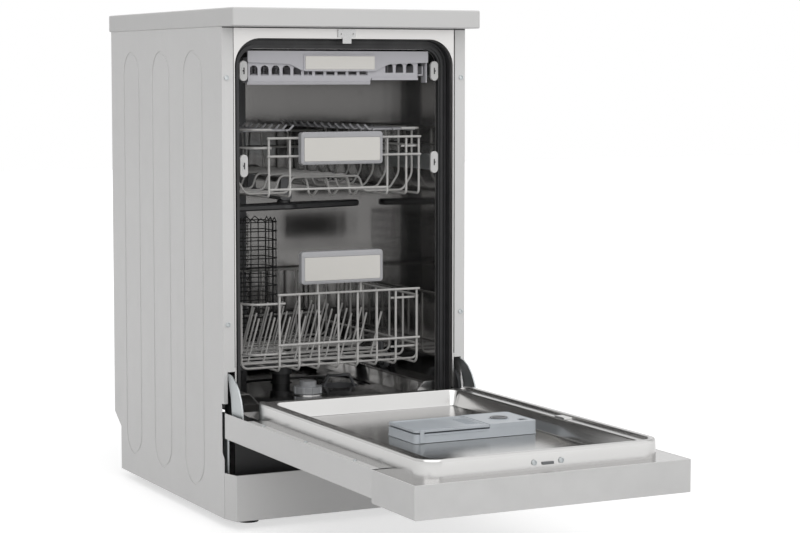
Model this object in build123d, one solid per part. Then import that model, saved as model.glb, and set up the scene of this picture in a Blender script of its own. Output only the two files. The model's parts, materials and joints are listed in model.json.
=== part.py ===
"""Freestanding slimline dishwasher, door open, racks in.

Millimetres, +Z up. The origin is on the floor under the middle of the worktop,
the door faces -Y, and +X is to the right of somebody who faces the machine.
"""
import os
from math import atan2, cos, degrees, hypot, pi, radians, sin

from build123d import *

# Overall size
worktop_width = 448.0
worktop_depth = 600.0
overall_height = 845.0
worktop_thickness = 30.0
cabinet_width = 445.0
rear_overhang = 10.0
door_thickness = 43.0
door_stand_off = 5.0
door_front_margin = 4.0

# Sheet and wall thicknesses
steel = 1.0
tub_steel = 1.0
plastic_wall = 2.5
base_wall = 3.0

# Named clearances
slip = 0.3
running_gap = 2.0
door_top_gap = 4.0
seat_gap = 0.1
pin_gap = 0.3

# Cabinet
panel_floor_gap = 14.0
flange_width = 20.0
flange_narrow = 7.1
flange_return = 9.0
flange_cut_height = 255.0
flange_step_height = 203.0
door_swing_setback = 9.0
rear_flange_width = 15.0
notch_depth = 35.0
notch_height = 92.0
notch_slope = 24.0
bead_width = 7.0
bead_depth = 0.8
bead_loops = ((182.0, 84.0, 51.0), (33.0, 88.0, 51.0), (-118.0, 92.0, 47.0))
bead_top_gap = 36.0

# Feet, base tray and kick plate
foot_radius = 18.0
foot_pad_height = 9.0
foot_stem_radius = 5.0
foot_inset = 54.5
foot_front_y = -216.0
foot_rear_y = 205.0
base_floor_height = 20.0
base_wall_height = 40.0
base_rear_height = 84.0
base_front_height = 116.0
kick_top = 90.0
kick_corner_inset = 8.5
kick_reach = 32.0
kick_wall = 2.0

# Tub
tub_side_gap = 39.5
tub_top_gap = 35.0
tub_back = 232.0
tub_corner = 28.0
tub_front = -214.0
tub_floor_level = 190.0
ledge_level = 211.0
ledge_width = 20.0
ledge_slope = 20.0
tub_lip_height = 178.0
mouth_side_gap = 23.0
mouth_top_gap = 18.0
mouth_corner = 45.0
frame_setback = 1.0

# Gasket
gasket_lip = 1.6
gasket_bead = 2.6
gasket_bead_width = 3.0

# Door
hinge_forward = 33.0
hinge_height = 163.0
hinge_to_face = 17.0
hinge_to_edge = 29.0
control_panel_height = 133.0
control_panel_proud = 6.0
control_panel_side = 1.0
door_edge_radius = 3.0
door_fold = 12.0
liner_steel = 1.2
liner_side_gap = 27.0
liner_rim_height = 27.0
liner_root_gap = 51.0
liner_tip_gap = 28.0
liner_corner = 34.0
liner_rim_width = 12.5
liner_ledge_drop = 4.0
liner_ledge_width = 15.0
liner_draft = 9.0
well_corner = 24.0
tray_floor_drop = 1.0
stop_y = -668.0
stop_length = 28.0
stop_height = 2.5

# Hinge
hinge_pin_radius = 4.5
hinge_arm_inset = 9.9
hinge_arm_plate = 2.5
hinge_bracket_inset = 14.0
hinge_bracket_plate = 3.0
hinge_nose_radius = 14.0
hinge_arm_length = 200.0
hinge_notch_width = 24.5
hinge_notch_length = 93.0
spring_radius = 8.0
spring_length = 150.0

# Dispenser
dispenser_x = 36.0
dispenser_width = 212.0
dispenser_y = -585.0
dispenser_depth = 94.0
dispenser_height = 21.0
dispenser_lid_share = 128.0
dispenser_lid_thickness = 7.0
dial_radius = 14.0
dial_x = 100.0

# Control panel
grip_width = 170.0
grip_height = 50.0
grip_depth = 26.0
button_radius = 6.0
button_proud = 1.2
button_length = 6.0

# Racks
wire = 4.0
loop_corner_width = 14.0
loop_corner_depth = 22.0
rack_side_gap = 17.0
rack_front = -213.0
rack_rear = 205.0
handle_width = 150.0
handle_reach = 18.0
handle_height = 54.0
lower_floor = 245.0
lower_rim = 373.0
lower_mid = 289.0
side_wire_drop = 15.0
upper_floor = 536.0
upper_rim = 633.0
upper_mid = 603.0
hump_height = 26.0
hump_half_width = 62.0
last_wire_gap = 14.0
feed_tube_half = 11.0
feed_tube_height = 14.0
feed_tube_end = 6.0
feed_strap_half = 9.0
feed_strap_depth = 12.0
feed_strap_gap = 40.0
tine_height = 78.0
tine_pitch = 29.0
tine_lean = 16.0
tine_rows = (-120.0, -40.0, 40.0, 112.0)
wheel_radius = 16.0
wheel_width = 9.0
wheel_wall_gap = 7.0
wheel_front_y = -30.0
wheel_rear_y = 180.0
axle_radius = 3.0

# Rails
rail_front = -222.0
rail_length = 434.0
rail_wall_gap = 1.8
rail_width = 11.7
rail_sheet = 1.2
rail_lip = 4.5
upper_rail_middle = 589.0
upper_rail_height = 26.0
tray_rail_drop = 36.0
tray_rail_height = 22.0
rail_cap_depth = 4.0
glide_length = 22.0
wall_glide_y = (-205.0, -60.0)
rack_glide_y = (60.0, 190.0)

# Cutlery tray
tray_side_gap = 23.0
tray_lattice_drop = 8.0
tray_lattice = 2.0
tray_wall_rise = 8.0
tray_bar_drop = 23.0
tray_bar_rise = 33.0
tray_bar_depth = 8.0
tray_rib = 6.0
tray_rows = 9
tray_divider = 53.0
arch_width = 15.0
arch_height = 20.0
arch_pitch = 19.5
arch_count = 5
tray_plate_width = 128.0
tray_plate_height = 22.0

# Cutlery basket
basket_left = -100.0
basket_width = 140.0
basket_front = 128.0
basket_depth = 72.0
basket_height = 218.0
basket_wall = 2.5

# Cup shelves
shelf_width = 92.0
shelf_level = 645.0
shelf_front = -184.0
shelf_length = 368.0
shelf_side_gap = 8.0
shelf_bar = 4.0
shelf_eye = 8.0

# Sump, filters, softener and spray system
sump_x = 35.0
sump_y = -10.0
sump_width = 200.0
sump_depth = 160.0
sump_corner = 40.0
sump_bottom = 118.0
sump_throat = 41.0
sump_rim = 8.0
sump_pan_depth = 22.0
sump_seat = 6.5
filter_x = 80.0
filter_y = -44.0
filter_radius = 34.0
filter_slots = 6
filter_slices = 8
hub_y = 30.0
hub_radius = 20.0
salt_x = -18.0
salt_y = -127.0
salt_radius = 24.0
salt_height = 21.0
arm_reach = 152.0
arm_root_width = 46.0
arm_tip_width = 26.0
arm_thickness = 11.0
arm_hub_drop = 12.0
arm_turn = 12.0
lower_arm_level = 217.0
upper_arm_level = 500.0
upper_hub_y = 15.0
feed_pipe_width = 26.0
feed_pipe_depth = 13.0
rose_radius = 26.0

# Services at the back
inlet_thread_radius = 13.2
inlet_stub = 22.0
inlet_inset = 83.5
drain_spigot_radius = 10.0
drain_spigot_length = 26.0
drain_inset = 137.5
hose_nut_room = 4.0
hose_wall = 4.0
gland_inset = 72.5
gland_radius = 9.0
gland_bore = 4.3
service_height = 62.0

# Planes that follow from the sizes above
front_y = -worktop_depth / 2
back_y = worktop_depth / 2 - rear_overhang
half_width = cabinet_width / 2
under_top = overall_height - worktop_thickness
cabinet_front = front_y + door_thickness + door_stand_off + door_front_margin
hinge_y = cabinet_front - hinge_forward
door_face = hinge_height - hinge_to_face
door_edge = door_face + door_thickness
door_root = hinge_y + hinge_to_edge
door_tip = hinge_y - (under_top - door_top_gap - hinge_height)
panel_split = door_tip + control_panel_height
control_face = door_face - control_panel_proud
liner_flange = door_edge - steel - seat_gap - liner_steel
liner_rim = liner_flange + liner_steel + liner_rim_height
liner_root = door_root - liner_root_gap
liner_tip = door_tip + liner_tip_gap
liner_ledge = liner_rim - liner_ledge_drop
liner_half_width = half_width - liner_side_gap
hinge_arm_x = half_width - hinge_arm_inset
hinge_bracket_x = half_width - hinge_bracket_inset
hinge_notch_inner = half_width - hinge_notch_width
kick_corner_x = half_width - kick_corner_inset
foot_x = half_width - foot_inset
mouth_half_width = half_width - mouth_side_gap
mouth_top = under_top - mouth_top_gap
tub_half_width = half_width - tub_side_gap
tub_ceiling = under_top - tub_top_gap
rack_half_width = tub_half_width - rack_side_gap
rack_edge = rack_half_width - wire / 2
wheel_x = tub_half_width - wheel_wall_gap
rail_x_outer = tub_half_width - rail_wall_gap
rail_x_inner = rail_x_outer - rail_width
tray_rail_middle = tub_ceiling - tray_rail_drop
tray_half_width = tub_half_width - tray_side_gap
tray_floor_level = tray_rail_middle - tray_lattice_drop
tray_wall_top = tray_rail_middle + tray_wall_rise
tray_bar_bottom = tray_rail_middle - tray_bar_drop
tray_bar_top = tray_rail_middle + tray_bar_rise
shelf_hinge_x = rack_half_width - shelf_side_gap
inlet_x = half_width - inlet_inset
drain_x = half_width - drain_inset
gland_x = gland_inset - half_width
frame_front = cabinet_front + frame_setback
rail_rear = rail_front + rail_length
tray_floor = liner_flange - tray_floor_drop
flat_filter_level = tub_floor_level - 4.0
base_front = cabinet_front + 12.0
base_rear = back_y - notch_depth - 8.0


def block(x0, x1, y0, y1, z0, z1):
    """Box between two corners."""
    middle = Pos((x0 + x1) / 2, (y0 + y1) / 2, (z0 + z1) / 2)
    return middle * Box(x1 - x0, y1 - y0, z1 - z0)


def post(x, y, z0, z1, radius):
    """Upright cylinder."""
    return Pos(x, y, (z0 + z1) / 2) * Cylinder(radius, z1 - z0)


def rod_x(x0, x1, y, z, radius):
    """Cylinder along X."""
    return Pos((x0 + x1) / 2, y, z) * Rot(0, 90, 0) * Cylinder(radius, abs(x1 - x0))


def rod_y(x, y0, y1, z, radius):
    """Cylinder along Y."""
    return Pos(x, (y0 + y1) / 2, z) * Rot(90, 0, 0) * Cylinder(radius, abs(y1 - y0))


def plate_xz(outline, y0, y1):
    """Closed outline of (x, z) points, as a plate from y0 to y1."""
    face = make_face(Polyline(*[(x, y1, z) for x, z in outline], close=True))
    return extrude(face, amount=y1 - y0, dir=(0, -1, 0))


def plate_yz(outline, x0, x1):
    """Closed outline of (y, z) points, as a plate from x0 to x1."""
    face = make_face(Polyline(*[(x0, y, z) for y, z in outline], close=True))
    return extrude(face, amount=x1 - x0, dir=(1, 0, 0))


def plate_xy(outline, z0, z1):
    """Closed outline of (x, y) points, as a plate from z0 to z1."""
    face = make_face(Polyline(*[(x, y, z0) for x, y in outline], close=True))
    return extrude(face, amount=z1 - z0, dir=(0, 0, 1))


def mirrored(shape):
    """The same shape on the other side of the machine."""
    return mirror(shape, about=Plane.YZ)


def cut_into(shape, regions):
    """A welded or moulded piece as solids that meet where its floor and walls meet."""
    pieces = [solid for region in regions for solid in (shape & region).solids()]
    return Compound(children=pieces)


def sectors(x, y, reach, z0, z1, count):
    """Regions like slices of a round cake, one centred on +X, between two levels."""
    half = pi / count
    slices = []
    for place in range(count):
        turn = 2 * half * place
        corners = [(x, y)] + [(x + reach * cos(turn + step), y + reach * sin(turn + step))
                              for step in (-half, half)]
        slices.append(plate_xy(corners, z0, z1))
    return slices


def strip_outline(points, width):
    """Outline of a bent strip of one width, mitred at its bends."""
    left, right = [], []
    for i, (a, b) in enumerate(points):
        directions = []
        if i > 0:
            directions.append((a - points[i - 1][0], b - points[i - 1][1]))
        if i < len(points) - 1:
            directions.append((points[i + 1][0] - a, points[i + 1][1] - b))
        units = [(da / hypot(da, db), db / hypot(da, db)) for da, db in directions]
        na = -sum(u[1] for u in units)
        nb = sum(u[0] for u in units)
        length = hypot(na, nb)
        half_turn = abs(atan2(units[0][0] * units[-1][1] - units[0][1] * units[-1][0],
                              units[0][0] * units[-1][0] + units[0][1] * units[-1][1])) / 2
        reach = width / 2 / cos(half_turn)
        left.append((a + na / length * reach, b + nb / length * reach))
        right.append((a - na / length * reach, b - nb / length * reach))
    return left + right[::-1]


def wire_xz(points, y, size=wire):
    """Bent square wire in a plane across the machine."""
    return plate_xz(strip_outline(points, size), y - size / 2, y + size / 2)


def wire_yz(points, x, size=wire):
    """Bent square wire in a plane along the machine."""
    return plate_yz(strip_outline(points, size), x - size / 2, x + size / 2)


def wire_xy(points, z, size=wire):
    """Bent square wire in a level plane."""
    return plate_xy(strip_outline(points, size), z - size / 2, z + size / 2)


def spread(first, last, count):
    """Evenly spaced places from first to last."""
    return [first + (last - first) * i / (count - 1) for i in range(count)]


def rounded_ring(outer, inner, y0, y1):
    """Arched ring across the machine: (half width, bottom, top, corner) of both edges."""
    def arch(half, bottom, top, corner):
        tall = RectangleRounded(2 * half, 2 * (top - bottom), corner)
        return tall & Pos(0, (top - bottom) / 2, 0) * Rectangle(2 * half + 1, top - bottom)
    plane = Plane((0, y1, outer[1]), x_dir=(1, 0, 0), z_dir=(0, -1, 0))
    hole = Pos(0, inner[1] - outer[1], 0) * arch(*inner)
    return extrude(plane * (arch(*outer) - hole), amount=y1 - y0)


def worktop():
    """Board with rounded corners and edges, and a shallow rebate under it for the cabinet."""
    board = block(-worktop_width / 2, worktop_width / 2, front_y, worktop_depth / 2,
                  under_top, overall_height)
    board = fillet(board.edges().filter_by(Axis.Z), 5.0)
    board = fillet(board.faces().sort_by(Axis.Z)[-1].edges(), 2.5)
    return chamfer(board.faces().sort_by(Axis.Z)[0].edges(), 1.2)


def stadium_bead(middle, width, bottom):
    """One pressed loop in the left side panel: a groove outside and its back inside."""
    height = under_top - bead_top_gap - bottom
    loop = SlotOverall(height, width) - SlotOverall(height - 2 * bead_width, width - 2 * bead_width)
    plane = Plane((-half_width, middle, bottom + height / 2), x_dir=(0, 0, 1), z_dir=(1, 0, 0))
    return plane, loop


def side_panel_left():
    """Folded steel side with a front and rear flange, three pressed loops and a rear notch."""
    inner = -half_width + steel
    outline = [(cabinet_front, under_top), (cabinet_front, flange_step_height),
               (cabinet_front + door_swing_setback, flange_step_height),
               (cabinet_front + door_swing_setback, kick_top + kick_reach),
               (cabinet_front, kick_top + kick_reach - door_swing_setback),
               (cabinet_front, panel_floor_gap),
               (back_y - notch_depth, panel_floor_gap), (back_y - notch_depth, notch_height),
               (back_y, notch_height + notch_slope), (back_y, under_top)]
    panel = plate_yz(outline, -half_width, inner)
    panel += block(inner, -half_width + flange_width, cabinet_front, cabinet_front + steel,
                   flange_cut_height, under_top)
    panel += block(inner, -half_width + flange_narrow, cabinet_front,
                   cabinet_front + steel, flange_step_height, flange_cut_height)
    panel += block(-half_width + flange_width - steel, -half_width + flange_width,
                   cabinet_front, cabinet_front + flange_return, flange_cut_height, under_top)
    panel += block(inner, -half_width + rear_flange_width, back_y - steel, back_y,
                   notch_height + notch_slope, under_top)
    panel += block(inner, -half_width + rear_flange_width, cabinet_front + flange_return,
                   back_y, under_top - steel, under_top)
    for middle, width, bottom in bead_loops:
        plane, loop = stadium_bead(middle, width, bottom)
        panel += extrude(plane * loop, amount=steel + bead_depth)
        narrow = offset(loop, amount=-steel, kind=Kind.INTERSECTION)
        panel -= extrude(plane * narrow, amount=bead_depth)
    return panel


def back_panel():
    """Sheet that closes the back between the side panels' rear flanges."""
    edge = half_width - steel - slip
    face = back_y - steel - seat_gap
    panel = block(-edge, edge, face - steel, face, notch_height + notch_slope,
                  under_top - steel - slip)
    rib = block(-edge + 40, edge - 40, face - steel - 2, face - steel, 300, 312)
    for lift in (0, 160, 320):
        panel += Pos(0, 0, lift) * rib
    return panel


def foot_places():
    """Centres of the four feet."""
    return [(x, y) for x in (-foot_x, foot_x) for y in (foot_front_y, foot_rear_y)]


def base_tray():
    """Moulded base: shallow pan, foot bosses, front wall behind the kick plate, rear wall."""
    edge = half_width - steel - bead_depth - slip
    floor = block(-edge, edge, base_front, base_rear, base_floor_height,
                  base_floor_height + base_wall)
    for x in (-edge, edge - base_wall):
        floor += block(x, x + base_wall, base_front, base_rear, base_floor_height,
                       base_floor_height + base_wall_height)
    floor += block(-hinge_notch_inner, hinge_notch_inner, base_front, base_front + base_wall,
                   base_floor_height, base_floor_height + base_front_height)
    floor += block(-edge, edge, base_rear - base_wall, base_rear,
                   base_floor_height, base_floor_height + base_rear_height)
    for x, y in foot_places():
        floor += post(x, y, base_floor_height, base_floor_height + base_wall_height - 8,
                      foot_stem_radius + 4)
        floor -= post(x, y, 0, base_floor_height + base_wall_height, foot_stem_radius + slip)
    floor -= rod_y(inlet_x, base_rear - 2 * base_wall, base_rear + 1, service_height,
                   inlet_thread_radius + hose_nut_room)
    floor -= rod_y(drain_x, base_rear - 2 * base_wall, base_rear + 1, service_height,
                   drain_spigot_radius + hose_wall)
    floor -= rod_y(gland_x, base_rear - 2 * base_wall, base_rear + 1, service_height,
                   gland_radius + slip)
    return floor


def kick_plate():
    """Plinth in front of the base, with slanted ends that meet the side panels."""
    corner_y = cabinet_front - kick_reach
    path = [(-half_width + steel, cabinet_front - slip), (-kick_corner_x, corner_y),
            (kick_corner_x, corner_y), (half_width - steel, cabinet_front - slip)]
    plate = wire_band(path, panel_floor_gap, kick_top)
    for x in (-120, 120):
        plate += block(x - 10, x + 10, corner_y + kick_wall / 2, base_front - seat_gap, 40, 44)
    return plate


def wire_band(path, z0, z1):
    """Upright band of the kick plate's wall that follows a path seen from above."""
    return plate_xy(strip_outline(path, kick_wall), z0, z1)


def levelling_feet():
    """Four screw feet: a dished pad on a stem in the base's boss."""
    feet = []
    for x, y in foot_places():
        pad = Pos(x, y, foot_pad_height / 2) * Cone(foot_radius, foot_radius * 0.8,
                                                   foot_pad_height)
        feet.append(pad + post(x, y, foot_pad_height, base_floor_height + base_wall_height - 12,
                               foot_stem_radius))
    return Compound(children=feet)


def tub_shell():
    """Wrapped steel tub: sides, ceiling with rounded corners, and the back wall."""
    inner = (tub_half_width, tub_lip_height, tub_ceiling, tub_corner)
    outer = (tub_half_width + tub_steel, tub_lip_height, tub_ceiling + tub_steel,
             tub_corner + tub_steel)
    wrap = rounded_ring(outer, inner, tub_front, tub_back)
    back = rounded_ring(outer, (1.0, tub_lip_height - 50, tub_lip_height - 45, 0.9),
                        tub_back, tub_back + tub_steel)
    bead = block(16, 110, tub_back - 1.5, tub_back, 0, 8)
    for level in spread(300, 700, 5):
        back += Pos(0, 0, level) * (bead + mirrored(bead))
    return wrap + back


def tub_floor():
    """Pressed floor: wheel ledges at the sides, slopes down to the sump, and a front lip."""
    edge = tub_half_width - slip
    rise = [(-edge, ledge_level), (-edge + ledge_width, ledge_level),
            (-edge + ledge_width + ledge_slope, tub_floor_level)]
    top = rise + [(-x, z) for x, z in rise[::-1]]
    middle = [(x, z - tub_steel / 2) for x, z in top]
    floor = plate_xz(strip_outline(middle, tub_steel), tub_front, tub_back - slip)
    ends = top + [(edge, tub_lip_height - 6), (-edge, tub_lip_height - 6)]
    floor += plate_xz(ends, tub_front, tub_front + tub_steel)
    opening = Pos(sump_x, sump_y, tub_floor_level) * RectangleRounded(
        sump_width, sump_depth, sump_corner)
    floor -= extrude(opening, amount=-3)
    floor -= extrude(opening, amount=3)
    floor -= post(salt_x, salt_y, tub_floor_level - 5, tub_floor_level + 5, salt_radius - 5)
    floor += post(salt_x, salt_y, tub_floor_level - tub_steel, tub_floor_level + 1.5,
                  salt_radius + 6) - post(salt_x, salt_y, tub_floor_level - 5,
                                          tub_floor_level + 5, salt_radius - 5)
    return floor


def frame_edges(half, corner, lift=0.0):
    """Size of one edge of the tub mouth, as rounded_ring takes it."""
    return (half, tub_lip_height - 6 + lift, mouth_top - mouth_half_width + half, corner)


def tub_front_frame():
    """Front face of the tub: flat frame, the deep channel for the gasket, and the lip."""
    face_outer = (half_width - flange_width - slip, flange_step_height,
                  under_top - seat_gap, 1.0)
    mouth = (mouth_half_width, flange_step_height - 1, mouth_top, mouth_corner)
    face = rounded_ring(face_outer, mouth, frame_front, frame_front + steel)
    wall_out = frame_edges(mouth_half_width + steel, mouth_corner + steel)
    wall_in = frame_edges(mouth_half_width, mouth_corner)
    channel = rounded_ring(wall_out, wall_in, frame_front, tub_front)
    tub_edge = (tub_half_width, tub_lip_height - 6, tub_ceiling, tub_corner)
    channel += rounded_ring(wall_out, tub_edge, tub_front - steel, tub_front)
    channel -= block(-half_width, half_width, frame_front - 1, cabinet_front + 8,
                     0, flange_step_height)
    lip = block(-tub_half_width - 12, tub_half_width + 12, tub_front - 14, tub_front,
                tub_lip_height - 6, tub_lip_height - 6 + steel)
    lip += block(-tub_half_width - 12, tub_half_width + 12, tub_front - 15, tub_front - 14,
                 tub_lip_height - 20, tub_lip_height)
    return face + channel + lip


def door_gasket():
    """Rubber profile in the frame's channel: base, two beads, outer lip, and a sill strip."""
    face = tub_front - steel - 10.0
    lift = steel + slip
    outer = frame_edges(mouth_half_width - slip, mouth_corner - slip, lift)
    inner = (tub_half_width + slip, tub_lip_height - 6 + lift, tub_ceiling + slip,
             tub_corner + slip)
    seal = rounded_ring(outer, inner, face, tub_front - steel - seat_gap)
    for share in (0.28, 0.72):
        near = mouth_half_width - share * (mouth_half_width - tub_half_width)
        corner = mouth_corner - share * (mouth_corner - tub_corner)
        near_edge = frame_edges(near + gasket_bead_width / 2, corner, lift)
        far_edge = frame_edges(near - gasket_bead_width / 2, corner - gasket_bead_width, lift)
        seal += rounded_ring(near_edge, far_edge, face - gasket_bead, face)
    lip_inner = frame_edges(mouth_half_width - slip - gasket_lip,
                            mouth_corner - slip - gasket_lip, lift)
    seal += rounded_ring(outer, lip_inner, cabinet_front + 8 + slip, face)
    sill = block(-tub_half_width - 11, tub_half_width + 11, tub_front - 15 - 3,
                 tub_front - 15 - slip, tub_lip_height - 14, tub_lip_height - 2)
    return Compound(children=[seal, sill])


def door_striker():
    """Steel catch on the frame above the mouth."""
    front = frame_front - 2.0
    plate = block(-16, 16, front, frame_front, mouth_top + 2, mouth_top + 15)
    tongue = block(-8, 8, front, frame_front, mouth_top - 8, mouth_top + 2)
    return plate + tongue - rod_y(-11, front - 1, frame_front + 1, mouth_top + 8, 1.6) - rod_y(
        11, front - 1, frame_front + 1, mouth_top + 8, 1.6)


def cabinet_screws():
    """Pan-head screws in the front flanges."""
    screws = []
    for x in (-half_width + 8, half_width - 8):
        for z in (733, 333):
            screws.append(rod_y(x, cabinet_front - 2, cabinet_front, z, 4.0))
    return Compound(children=screws)


def sump():
    """Moulded sump under the tub floor: shallow pan, deep filter well and the arm's post."""
    top = tub_floor_level - tub_steel - seat_gap
    w = plastic_wall
    rim_under = top - sump_rim
    pan_floor = rim_under - sump_pan_depth

    def level(z, grow, height):
        outline = RectangleRounded(sump_width + grow, sump_depth + grow, sump_corner + grow / 2)
        return extrude(Pos(sump_x, sump_y, z) * outline, amount=height)

    body = level(top, 14, -sump_rim) - level(top, 0, -sump_rim)
    body += level(pan_floor - w, 0, flat_filter_level - slip - pan_floor + w)
    body += post(filter_x, filter_y, sump_bottom, pan_floor, sump_throat)
    body -= level(pan_floor, -2 * sump_seat, sump_pan_depth + sump_rim)
    body -= post(filter_x, filter_y, sump_bottom + w, pan_floor + 1, sump_throat - w)
    body += post(0, hub_y, pan_floor, lower_arm_level - arm_hub_drop - slip, hub_radius - 4)
    return body


def softener_tank():
    """Salt and resin tank under the floor, with a threaded neck through it."""
    tank = block(-165, 20, salt_y - 68, salt_y + 30, base_floor_height + base_wall + 40,
                 tub_floor_level - 16)
    tank = fillet(tank.edges().filter_by(Axis.Z), 16)
    neck = post(salt_x, salt_y, tub_floor_level - 16, tub_floor_level + 10, salt_radius - 6)
    foot = post(-90, salt_y - 20, base_floor_height + base_wall, base_floor_height + 43, 14)
    mouth = post(salt_x, salt_y, tub_floor_level - 40, tub_floor_level + 13, salt_radius - 9)
    return tank + neck + foot - mouth


def salt_cap():
    """Screw cap with eight grips and a raised middle."""
    low = tub_floor_level + 1.5 + slip
    cap = post(salt_x, salt_y, low, low + salt_height * 0.55, salt_radius)
    cap += post(salt_x, salt_y, low, low + salt_height, salt_radius * 0.62)
    for place in PolarLocations(salt_radius, 8):
        grip = Pos(salt_x, salt_y, low + salt_height * 0.275) * place
        cap += grip * Box(3, 5, salt_height * 0.55)
    return cap - post(salt_x, salt_y, low - 1, low + 8.5, salt_radius - 5.6)


def flat_filter():
    """Steel plate over the sump, dished round the fine filter, open at the arm's post."""
    level = flat_filter_level
    outline = Pos(sump_x, sump_y, level) * RectangleRounded(sump_width - 2, sump_depth - 2,
                                                            sump_corner - 1)
    plate = extrude(outline, amount=1.6)
    plate -= post(0, hub_y, level - 1, level + 3, hub_radius + slip)
    plate -= post(filter_x, filter_y, level - 1, level + 3, filter_radius + slip)
    collar = post(filter_x, filter_y, level - 10, level, filter_radius + 3)
    plate = plate + collar - post(filter_x, filter_y, level - 11, level + 3,
                                  filter_radius + slip)
    return cut_into(plate, sectors(filter_x, filter_y, 2 * sump_width, level - 11, level + 3,
                                   filter_slices))


def filter_cup():
    """Fine filter: a cup in the sump's well with a bow handle on its rim."""
    low = sump_bottom + plastic_wall + slip
    top = flat_filter_level + 1.6
    cup = post(filter_x, filter_y, low, top, filter_radius)
    cup -= post(filter_x, filter_y, low + 2, top + 1, filter_radius - 2)
    bow = wire_xz([(filter_x - filter_radius + 3, top - 4), (filter_x - 20, top + 18),
                   (filter_x + 20, top + 18), (filter_x + filter_radius - 3, top - 4)],
                  filter_y, 4)
    for place in PolarLocations(filter_radius - 1, filter_slots):
        slot = Pos(filter_x, filter_y, (low + top) / 2 - 6) * place * Box(4, 9, 30)
        cup -= slot
    floor = post(filter_x, filter_y, low, low + 2, filter_radius)
    wall = sectors(filter_x, filter_y, 2 * filter_radius, low + 2, top, filter_slots)
    spans = ((-filter_radius, -20), (-20, 20), (20, filter_radius))
    arch = [block(filter_x + left, filter_x + right, filter_y - 4, filter_y + 4, top, top + 30)
            for left, right in spans]
    return cut_into(cup + bow, [floor, *wall, *arch])


def spray_arm(x, y, level):
    """Two tapering blades on a round hub, with a row of nozzles on each blade."""
    taper = 90 - degrees(atan2((arm_root_width - arm_tip_width) / 2, arm_reach))
    outline = Pos(0, arm_reach / 2) * Trapezoid(arm_root_width, arm_reach, taper)
    outline += Pos(0, arm_reach) * Circle(arm_tip_width / 2)
    arm = extrude(Rot(0, 0, arm_turn - 90) * outline, amount=arm_thickness)
    arm += extrude(Rot(0, 0, arm_turn + 90) * outline, amount=arm_thickness)
    arm += Cylinder(arm_root_width / 2 + 3, arm_thickness,
                    align=(Align.CENTER, Align.CENTER, Align.MIN))
    arm = chamfer(arm.faces().sort_by(Axis.Z)[-1].edges(), 2.5)
    arm = chamfer(arm.faces().sort_by(Axis.Z)[0].edges(), 2.5)
    for share in (0.35, 0.55, 0.75, 0.95):
        for side in (-1, 1):
            turn = radians(arm_turn)
            along = side * arm_reach * share
            hole = Pos(along * cos(turn), along * sin(turn), arm_thickness)
            arm -= hole * Box(3, 6, arm_thickness)
    return Pos(x, y, level) * arm


def lower_spray_arm():
    """Lower spray arm on the sump's post."""
    arm = spray_arm(0, hub_y, lower_arm_level)
    hub = post(0, hub_y, lower_arm_level - arm_hub_drop, lower_arm_level, hub_radius)
    return arm + hub


def upper_spray_arm():
    """Upper spray arm under the upper rack's feed tube."""
    arm = spray_arm(0, upper_hub_y, upper_arm_level)
    return arm + post(0, upper_hub_y, upper_arm_level + arm_thickness,
                      upper_arm_level + arm_thickness + 5, 12)


def spray_feed_pipe():
    """Flat pipe up the back wall, its nozzle for the upper rack, and the ceiling spray rose."""
    front = tub_back - slip - feed_pipe_depth
    half = feed_pipe_width / 2
    pipe = block(-half, half, front, tub_back - slip, tub_floor_level, tub_ceiling - slip)
    pipe += block(-half, half, upper_hub_y, tub_back - slip,
                  tub_ceiling - slip - feed_pipe_depth, tub_ceiling - slip)
    pipe = chamfer(pipe.edges().filter_by(Axis.Z).group_by(Axis.Y)[0], 4)
    level = upper_arm_level + arm_thickness + 16
    pipe += rod_y(0, front - 5, front, level, 11)
    rose = tub_ceiling - slip - feed_pipe_depth
    pipe += Pos(0, upper_hub_y, rose - 3) * Cone(rose_radius * 0.7, rose_radius, 6)
    return pipe


def wash_pump():
    """Wash pump lying in the base: volute, motor body, end cap, cradle and outlet."""
    floor = base_floor_height + base_wall
    y0, x, z = 70, -60, floor + 44
    pump = rod_y(x, y0, y0 + 30, z, 42)
    pump += rod_y(x, y0 + 30, y0 + 105, z, 34)
    pump += rod_y(x, y0 + 105, y0 + 118, z, 24)
    pump += block(x - 30, x + 30, y0 + 38, y0 + 48, floor, z - 20)
    pump += block(x - 30, x + 30, y0 + 88, y0 + 98, floor, z - 20)
    pump += rod_x(x + 20, sump_x - 30, y0 + 14, z + 24, 13)
    return pump


def drain_pump():
    """Drain pump beside the sump, with the drain spigot through the rear wall."""
    floor = base_floor_height + base_wall
    pipe_start, end = 128, base_rear + drain_spigot_length
    pump = rod_y(drain_x, 60, 82, service_height, 30)
    pump += rod_y(drain_x, 82, pipe_start, service_height, 24)
    pump += block(drain_x - 18, drain_x + 18, 90, 112, floor, service_height)
    pump += rod_y(drain_x, pipe_start, base_rear, service_height, drain_spigot_radius - 1)
    pump += rod_y(drain_x, base_rear - base_wall, end, service_height, drain_spigot_radius)
    return pump - rod_y(drain_x, pipe_start + 12, end + 1, service_height,
                        drain_spigot_radius - 2.5)


def inlet_valve():
    """Water inlet valve with a threaded stub through the rear wall."""
    valve = rod_y(inlet_x, base_rear - 2 * base_wall, base_rear + inlet_stub, service_height,
                  inlet_thread_radius)
    valve += block(inlet_x - 16, inlet_x + 16, base_rear - 45, base_rear - base_wall - seat_gap,
                   service_height - 20, service_height + 22)
    valve += post(inlet_x, base_rear - 26, service_height + 20, service_height + 52, 14)
    valve -= rod_y(inlet_x, base_rear - 10, base_rear + inlet_stub + 1, service_height, 8)
    return valve


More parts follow.
